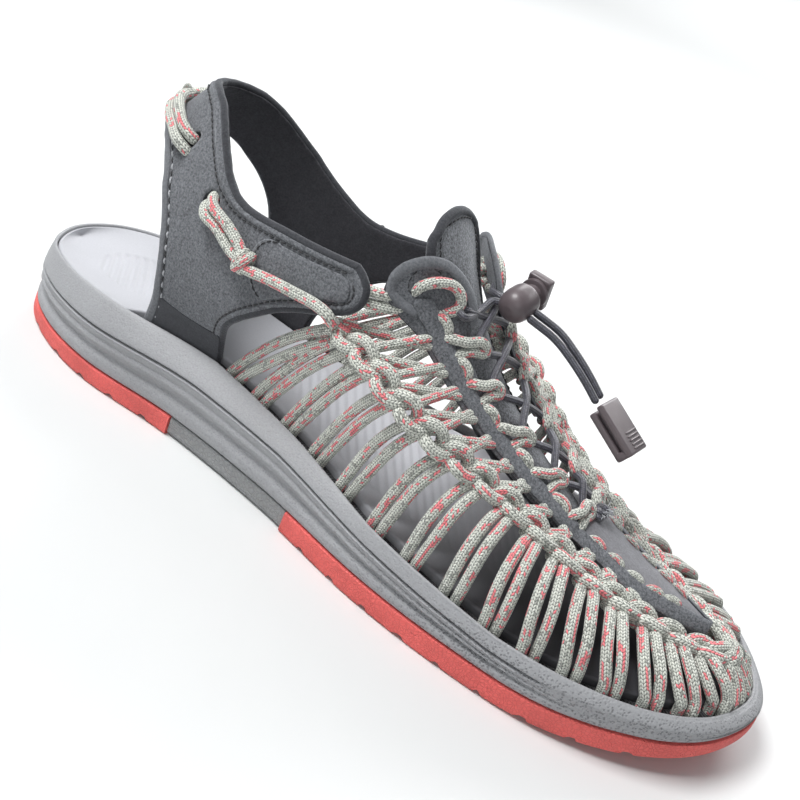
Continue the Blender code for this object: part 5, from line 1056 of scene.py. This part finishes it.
# ---------------------------------------------------------------- heel cords
OFF = H + GAP + CORD / 2
def wraps(at, axis, across, n, r, count=3, dia=2.9):
    """turns of cord round the two strands, pulled tight"""
    out = []
    for i in range(count):
        c = np.array(at) + axis * (i - (count - 1) / 2) * dia * 0.72
        ang = np.linspace(-0.25 * math.pi, 1.25 * math.pi, 16) + 0.25 * i
        out.append(tube(np.array([c + across * r * math.cos(a) + n * (r * 0.62 * math.sin(a) - 0.4) + axis * 0.5 * (k / 15 - 0.5) for k, a in enumerate(ang)]), dia, sides=12))
    return out
for side, word in ((-1, "lateral"), (1, "medial")):
    drop = 0.0 if side < 0 else -5.0
    pile = Pile()
    C, a, o, n = chain_frame(side, 1.6)
    front = [on_strap(96.2, 71.2 + drop, side, OFF + 1.3), on_strap(100.6, 71.3 + drop, side, OFF + 1.2), on_strap(108, 72.4 + drop, side, OFF + 0.4), on_strap(118, 73.6 + drop, side, OFF + 0.3), on_strap(126, 74.4 + drop, side, OFF + 0.3),
             on_strap(130.4, 74.0 + drop * 1.2, side, OFF + 0.3), (on_strap(132.6, 73.2 + drop * 1.4, side, OFF + 0.4) + C) / 2 + n * 0.8, C + n * 0.5, C + a * 4 + o * 0.6 - n * 0.8]
    pile.put(tube(curve(front, 60), CORD - 0.1, sides=14, up=None))
    for k, (dx, dz) in enumerate(((0, 0.0), (5.2, 2.6))):
        kn = on_strap(95.8 + 0.9 * k, 71.8 + drop + 1.9 * k, side, OFF + 0.5)
        mid1 = on_strap(90.4 + 0.6 * dx, 73.2 + drop + 1.0 * dz, side, OFF + 0.2)
        mid = on_strap(83.8 + 0.75 * dx, 75.8 + drop + 0.95 * dz, side, OFF + 0.2)
        mouth = on_strap(WING_SLOT[0] + 1.8 + 0.34 * dx, WING_SLOT[1] - 3.3 + drop + 1.45 * dz, side, OFF + 0.1)
        pin = on_strap(WING_SLOT[0] - 0.5 + 0.30 * dx, WING_SLOT[1] - 1.6 + drop + 1.3 * dz, side, OFF - 1.6)
        last_pt = on_strap(WING_SLOT[0] - 0.8 + 0.20 * dx, WING_SLOT[1] - 1.0 + drop + 1.2 * dz, side, 0.5)
        pile.put(tube(curve([kn, mid1, mid, mouth, pin, last_pt], 34), CORD - 0.1, sides=14))
    ax = unit(on_strap(98, 71.3 + drop, side, OFF) - on_strap(92, 72.4 + drop, side, OFF)); nn = strap_normal(side * run_of(95, 71 + drop), 71 + drop)
    for w in wraps(on_strap(97.4, 72.2 + drop, side, OFF + 0.4), ax, np.cross(ax, nn), nn, 2.6, count=2, dia=3.1): pile.put(w)
    pile.put(tube(curve([on_strap(95.4, 69.4 + drop, side, OFF), on_strap(96.8, 70.2 + drop, side, OFF + 2.2), on_strap(99.2, 73.4 + drop, side, OFF + 2.4), on_strap(99.8, 75.2 + drop, side, OFF + 0.2)], 14), 3.0, sides=12))
    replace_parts(piece("heel_cord_%s_skin" % word, pile, BRAID), "heel_cord_" + word)
pile = Pile()
for k in (-1, 1):
    z_off = 2.0 * k
    pts = []
    for side in (-1, 1):
        bx, bz = BACK_SLOT[side]
        q = [on_strap(bx + 1.0, bz - 0.4 + z_off, side, 0.5), on_strap(bx + 0.4, bz + z_off, side, OFF - 1.4), on_strap(bx - 2.2, bz + 0.8 + z_off, side, OFF + 0.3),
             on_strap(51.0, 91.6 + z_off, side, OFF + 0.6), on_strap(45.6, 92.8 + z_off, side, OFF + 0.7)]
        pts += q if side < 0 else [np.array([look(ANKLE, 93.4 + z_off, 1) - OFF - 1.2, 0.0, 93.4 + z_off])] + q[::-1]
    pile.put(tube(curve(pts, 90), CORD, sides=14))
c = np.array([look(ANKLE, 93.4, 1) - OFF - 1.2, 0.0, 93.4])
ring = [c + np.array([1.9 * math.cos(t), 0.0, 4.1 * math.sin(t)]) + [0.0, 0.9 * math.sin(t / 2), 0] for t in np.linspace(-2.6, 2.6, 24)]
pile.put(tube(np.array(ring) + [0.0, 0, 0], 1.5, sides=10))
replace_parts(piece("heel_cord_back_skin", pile, BRAID), "heel_cord_back")
# the pair that ties each tab to the top of its eyestay
for side, word in ((-1, "lateral"), (1, "medial")):
    dz = 0 if side < 0 else -8.6
    pile = Pile()
    for (x0, z0), (r, t) in (((130.5, 84.2), (2.25, 0.14)), ((130.5, 80.4), (2.85, 0.10))):
        e = arm_pt(side, r, t, -1.6); f2 = arm_pt(side, r, t + 0.3, -2.2)
        p = [on_strap(x0, z0 + dz, side, -H - 2.3), on_strap(x0 + 4.5, z0 + dz - 0.1, side, -H - 2.2), (on_strap(x0 + 7, z0 + dz - 0.3, side, -H - 2.0) + e) / 2 + [0, side * 0.5, 0.3], e, f2]
        pile.put(tube(curve(p, 24), 3.5, sides=14))
    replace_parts(piece("tab_cords_" + word, pile, BRAID), "heel_cord_" + word)

# ---------------------------------------------------------------- tongue
TONGUE_SHAPE = [
    (141.5, 12.5, 0.2, 3.6), (145.0, 15.4, 1.0, 6.6), (151.0, 15.8, 1.8, 11.4), (160.0, 14.6, 3.0, 14.0), (170.0, 13.4, 4.6, 13.2),
    (181.0, 13.0, 5.0, 12.2), (192.0, 12.4, 5.0, 11.0), (204.0, 11.5, 5.0, 9.4), (214.0, 10.5, 5.4, 8.6), (222.5, 8.5, 6.4, 8.8)]
shape = spline(TONGUE_SHAPE, 72)
def tongue_pt(i, t, off=0.0):
    x, w, d0, d1 = (np.interp(i, np.arange(len(shape)), shape[:, k]) for k in range(4))
    c = 0.5 * float(look(CHAIN, x, 2) + look(CHAIN, x, 3)) - 1.8 * smooth((165 - x) / 15)
    corner = smooth((4 - i) / 4) * abs(t) ** 4 * 2.2
    s = (look(RIDGE, x + 4, 1) - look(RIDGE, x - 4, 1)) / 8
    n = unit(np.array([-s, t * 1.3, 1.0]))
    return np.array([x + corner, c + w * t, float(look(RIDGE, x, 1)) - d0 - (d1 - d0) * abs(t) ** 1.6 - corner * 1.2]) + n * off, n
T_SPEC = suede("tongue_suede", srgb(124, 126, 130), mottle=0.7)
puff = lambda i, t: 0.7 * (1 - abs(t) ** 6) * smooth(i / 6)
rows = [[tongue_pt(i, t, -1.5 + puff(i, t) * 0.4)[0] for t in np.linspace(-0.97, 0.97, 17)] for i in range(0, 73)]
ob = sheet("tongue_pad", rows, 2.8, T_SPEC, "tongue", rim=DARK_EDGE_AND_SHADE)
edge = [(i, -0.95) for i in np.linspace(46, 2, 26)] + [(0.6, t) for t in np.linspace(-0.86, 0.86, 11)] + [(i, 0.95) for i in np.linspace(2, 46, 26)]
pts = np.array([tongue_pt(i, t, -0.75)[0] for i, t in edge]); nn = np.array([tongue_pt(i, t)[1] for i, t in edge])
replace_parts(piece("tongue_binding", Pile().put(tube(curve(pts, 120), 3.1, sides=12)), DARK_EDGE_AND_SHADE), "tongue")
edge = [(i, -0.72) for i in np.linspace(46, 4.5, 26)] + [(3.6, t) for t in np.linspace(-0.6, 0.6, 9)] + [(i, 0.72) for i in np.linspace(4.5, 46, 26)]
pts = curve([tongue_pt(i, t, 0.45)[0] for i, t in edge], 140); nn = np.array([(pts[min(k + 1, 139)] * 0 + [0.5, 0, 1]) for k in range(140)])
seam = Pile(); dashes(seam, None, pts, nn, every=2.2, long=1.6, dia=0.5)
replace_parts(piece("tongue_stitches", seam, THREAD_DARK), "tongue")

# ---------------------------------------------------------------- elastic lace
def hook(side, j):
    if j == 0: return arm_pt(side, 2.85, 0.72, 1.3)
    lx, lz = LOOPS[j - 1][2]
    return lace_at(side, lx, lz) + np.array([0.0, 0.0, 0.5])
FACE = LOCK_AT + np.array([-5.2, 0.6, -1.4])
pile = Pile()
for first in (-1, 1):
    side = first; pts = []
    h0 = hook(side, 0)
    if first < 0: pts += [FACE + [0.5, -1.6, 0.0], FACE + [-1.5, -2.2, -0.6], (FACE + h0) / 2 + [0.8, -2.2, -2.4], h0 + [2.8, -0.6, -1.4], h0 + [0.3, -0.1, -0.9], h0 + [-0.3, 1.2, -0.6], h0 + [1.8, 2.6, -0.6]]
    else: pts += [FACE + [0.3, 0.6, 0.4], FACE + [-2.4, 1.6, 0.2], (FACE + h0) / 2 + [-2.4, -1.2, -0.2], h0 + [-1.2, -0.2, 0.2], h0 + [0.8, -0.8, -1.2]]
    prev = h0
    for j in range(1, 6):
        side = -side; h = hook(side, j)
        tau = unit(hook(side, min(j + 1, 5)) - hook(side, j - 1)); w = np.array([0, -side, 0.0])
        m = (prev + h) / 2 + np.array([0.0, 0.0, 1.5 + (0.9 if (j % 2) == (first > 0) else -0.5)])
        pts += [m, h - tau * 2.2 + w * 0.6, h - w * 0.5, h + tau * 2.0 + w * 0.5]
        prev = h
    pts += [prev + [2.5, -side * 2.5, -0.6], prev + [3.6, -side * 4.5, -0.4]]
    pile.put(tube(curve(pts, 230), LACE, sides=12))
K = (hook(-1, 5) + hook(1, 5)) / 2 + np.array([3.6, 0, -0.2])
for ang in (0.0, 1.1, 2.2):
    ring = [K + np.array([1.5 * math.cos(t), 1.9 * math.sin(t) * math.cos(ang), 1.6 * math.sin(t) * math.sin(ang + 0.5)]) for t in np.linspace(0, 5.4, 18)]
    pile.put(tube(np.array(ring), LACE * 0.95, sides=10))
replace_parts(piece("elastic_lace_skin", pile, ELASTIC), "elastic_lace")
fray = Pile()
for i in range(26):
    d = unit(np.array([0.3 + 0.9 * RNG.random(), RNG.standard_normal() * 0.8, 0.25 + 0.5 * RNG.random()]))
    a = K + d * 1.3; fray.put(tube(np.array([a, a + d * 1.4 + RNG.standard_normal(3) * 0.2, a + d * 2.6 + RNG.standard_normal(3) * 0.5]), 0.28, sides=5, cap=1))
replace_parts(piece("frayed_end", fray, THREAD_LIGHT), "elastic_lace")

# ---------------------------------------------------------------- cord lock
TURN = Vector(LOCK_AXIS).to_track_quat("Z", "X").to_matrix()
def at_lock(v): return np.array([LOCK_AT + np.array(TURN @ Vector(q)) for q in v])
def lathe(profile, seg=56):
    p = np.asarray(profile, float); m = len(p)
    v = [(r * math.cos(2 * math.pi * k / seg), r * math.sin(2 * math.pi * k / seg), z) for r, z in p for k in range(seg)]
    f = [(i * seg + k, i * seg + (k + 1) % seg, (i + 1) * seg + (k + 1) % seg, (i + 1) * seg + k) for i in range(m - 1) for k in range(seg)]
    f += [tuple(range(seg))[::-1], tuple((m - 1) * seg + k for k in range(seg))]
    return v, f
dome = list(spline([(0.25, -5.05), (1.7, -4.95), (3.4, -4.2), (4.75, -2.5), (5.28, -0.2), (5.3, 2.6), (5.2, 4.6)], 36)) + [(5.05, 5.2), (4.8, 5.5), (4.4, 5.6), (3.75, 5.6), (3.62, 5.5), (3.6, 5.2), (3.6, -1.4)]
v, f = lathe(dome)
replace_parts(piece("lock_body_skin", (at_lock(v), f), PLASTIC, smooth_deg=50), "lock_body")
def rounded_box(size, at, bevel, seg=4, rot=None):
    bm = bmesh.new(); bmesh.ops.create_cube(bm, size=1.0)
    bmesh.ops.scale(bm, vec=Vector(size), verts=bm.verts)
    bmesh.ops.bevel(bm, geom=list(bm.edges), offset=bevel, segments=seg, affect="EDGES", profile=0.6)
    bm.verts.ensure_lookup_table(); bm.verts.index_update()
    v = [Vector(w.co) for w in bm.verts]
    v = [(rot @ w if rot else w) + Vector(at) for w in v]
    f = [tuple(w.index for w in fc.verts) for fc in bm.faces]; bm.free()
    return np.array([w[:] for w in v]), f
def joined(*meshes):
    v, f, k = [], [], 0
    for a, b in meshes:
        v.append(np.asarray(a, float)); f += [tuple(i + k for i in x) for x in b]; k += len(a)
    return np.vstack(v), f
v1, f1 = lathe([(3.2, 2.62), (3.2, 9.1), (3.5, 9.25), (4.25, 9.3), (4.55, 9.5), (4.62, 9.9), (4.62, 10.6), (4.5, 10.95), (4.2, 11.15)])
v2, f2 = rounded_box((10.6, 8.0, 3.3), (0, 0, 12.25), 0.95)
v3, f3 = rounded_box((6.4, 2.0, 0.9), (0.6, 0, 13.95), 0.35)
v, f = joined((v1, f1), (v2, f2), (v3, f3))
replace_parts(piece("lock_button_skin", (at_lock(v), f), PLASTIC, body="button", smooth_deg=40), "lock_button")

# ---------------------------------------------------------------- free ends of the lace and their clip
CZ = Vector(CLIP_DIR).to_track_quat("Z", "Y").to_matrix()
face = 1.0 if (np.array(CZ @ Vector((0, 1, 0))) @ BACK) > 0 else -1.0
parts_ = [rounded_box((11.0, 2.3, 17.4), (0, 1.72 * face, 0), 0.85), rounded_box((10.6, 2.2, 16.4), (0, -1.78 * face, 0.4), 0.85),
          rounded_box((10.8, 5.4, 2.6), (0, 0, 7.35), 1.0), rounded_box((7.6, 1.5, 14.0), (0, 0, 0.4), 0.3)]
for k in range(5): parts_.append(rounded_box((6.6, 0.7, 0.62), (1.2, 2.85 * face, 2.2 + 1.25 * k), 0.24, 2))
v, f = joined(*parts_)
v = np.array([CLIP_AT + np.array(CZ @ Vector(q)) for q in v])
clip_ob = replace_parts(piece("end_clip_skin", (v, f), PLASTIC, smooth_deg=40), "end_clip")
for k, word in ((0, "a"), (1, "b")):
    q = np.array(TAIL, float); q[:, 1] += (-1.35 if k == 0 else 1.35) * np.linspace(1, 0.98, len(q)); q[:, 2] += (-0.9 if k == 0 else 0.9) * np.linspace(1, 0.5, len(q))
    q[0] = LOCK_AT + np.array([5.3 + GAP + 0.2, 1.2 + 1.45 * (2 * k - 1), -0.8 + 0.9 * (2 * k - 1) * 0.8])
    path = curve(q, 30)
    ob = piece("lace_tail_%s_skin" % word, tube(path, LACE, sides=14), ELASTIC)
    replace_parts(ob, "lace_tail_" + word)

# ---------------------------------------------------------------- done
for name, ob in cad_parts.items():
    if not ob.hide_render:
        ob.data.materials.clear(); ob.data.materials.append(SUEDE)
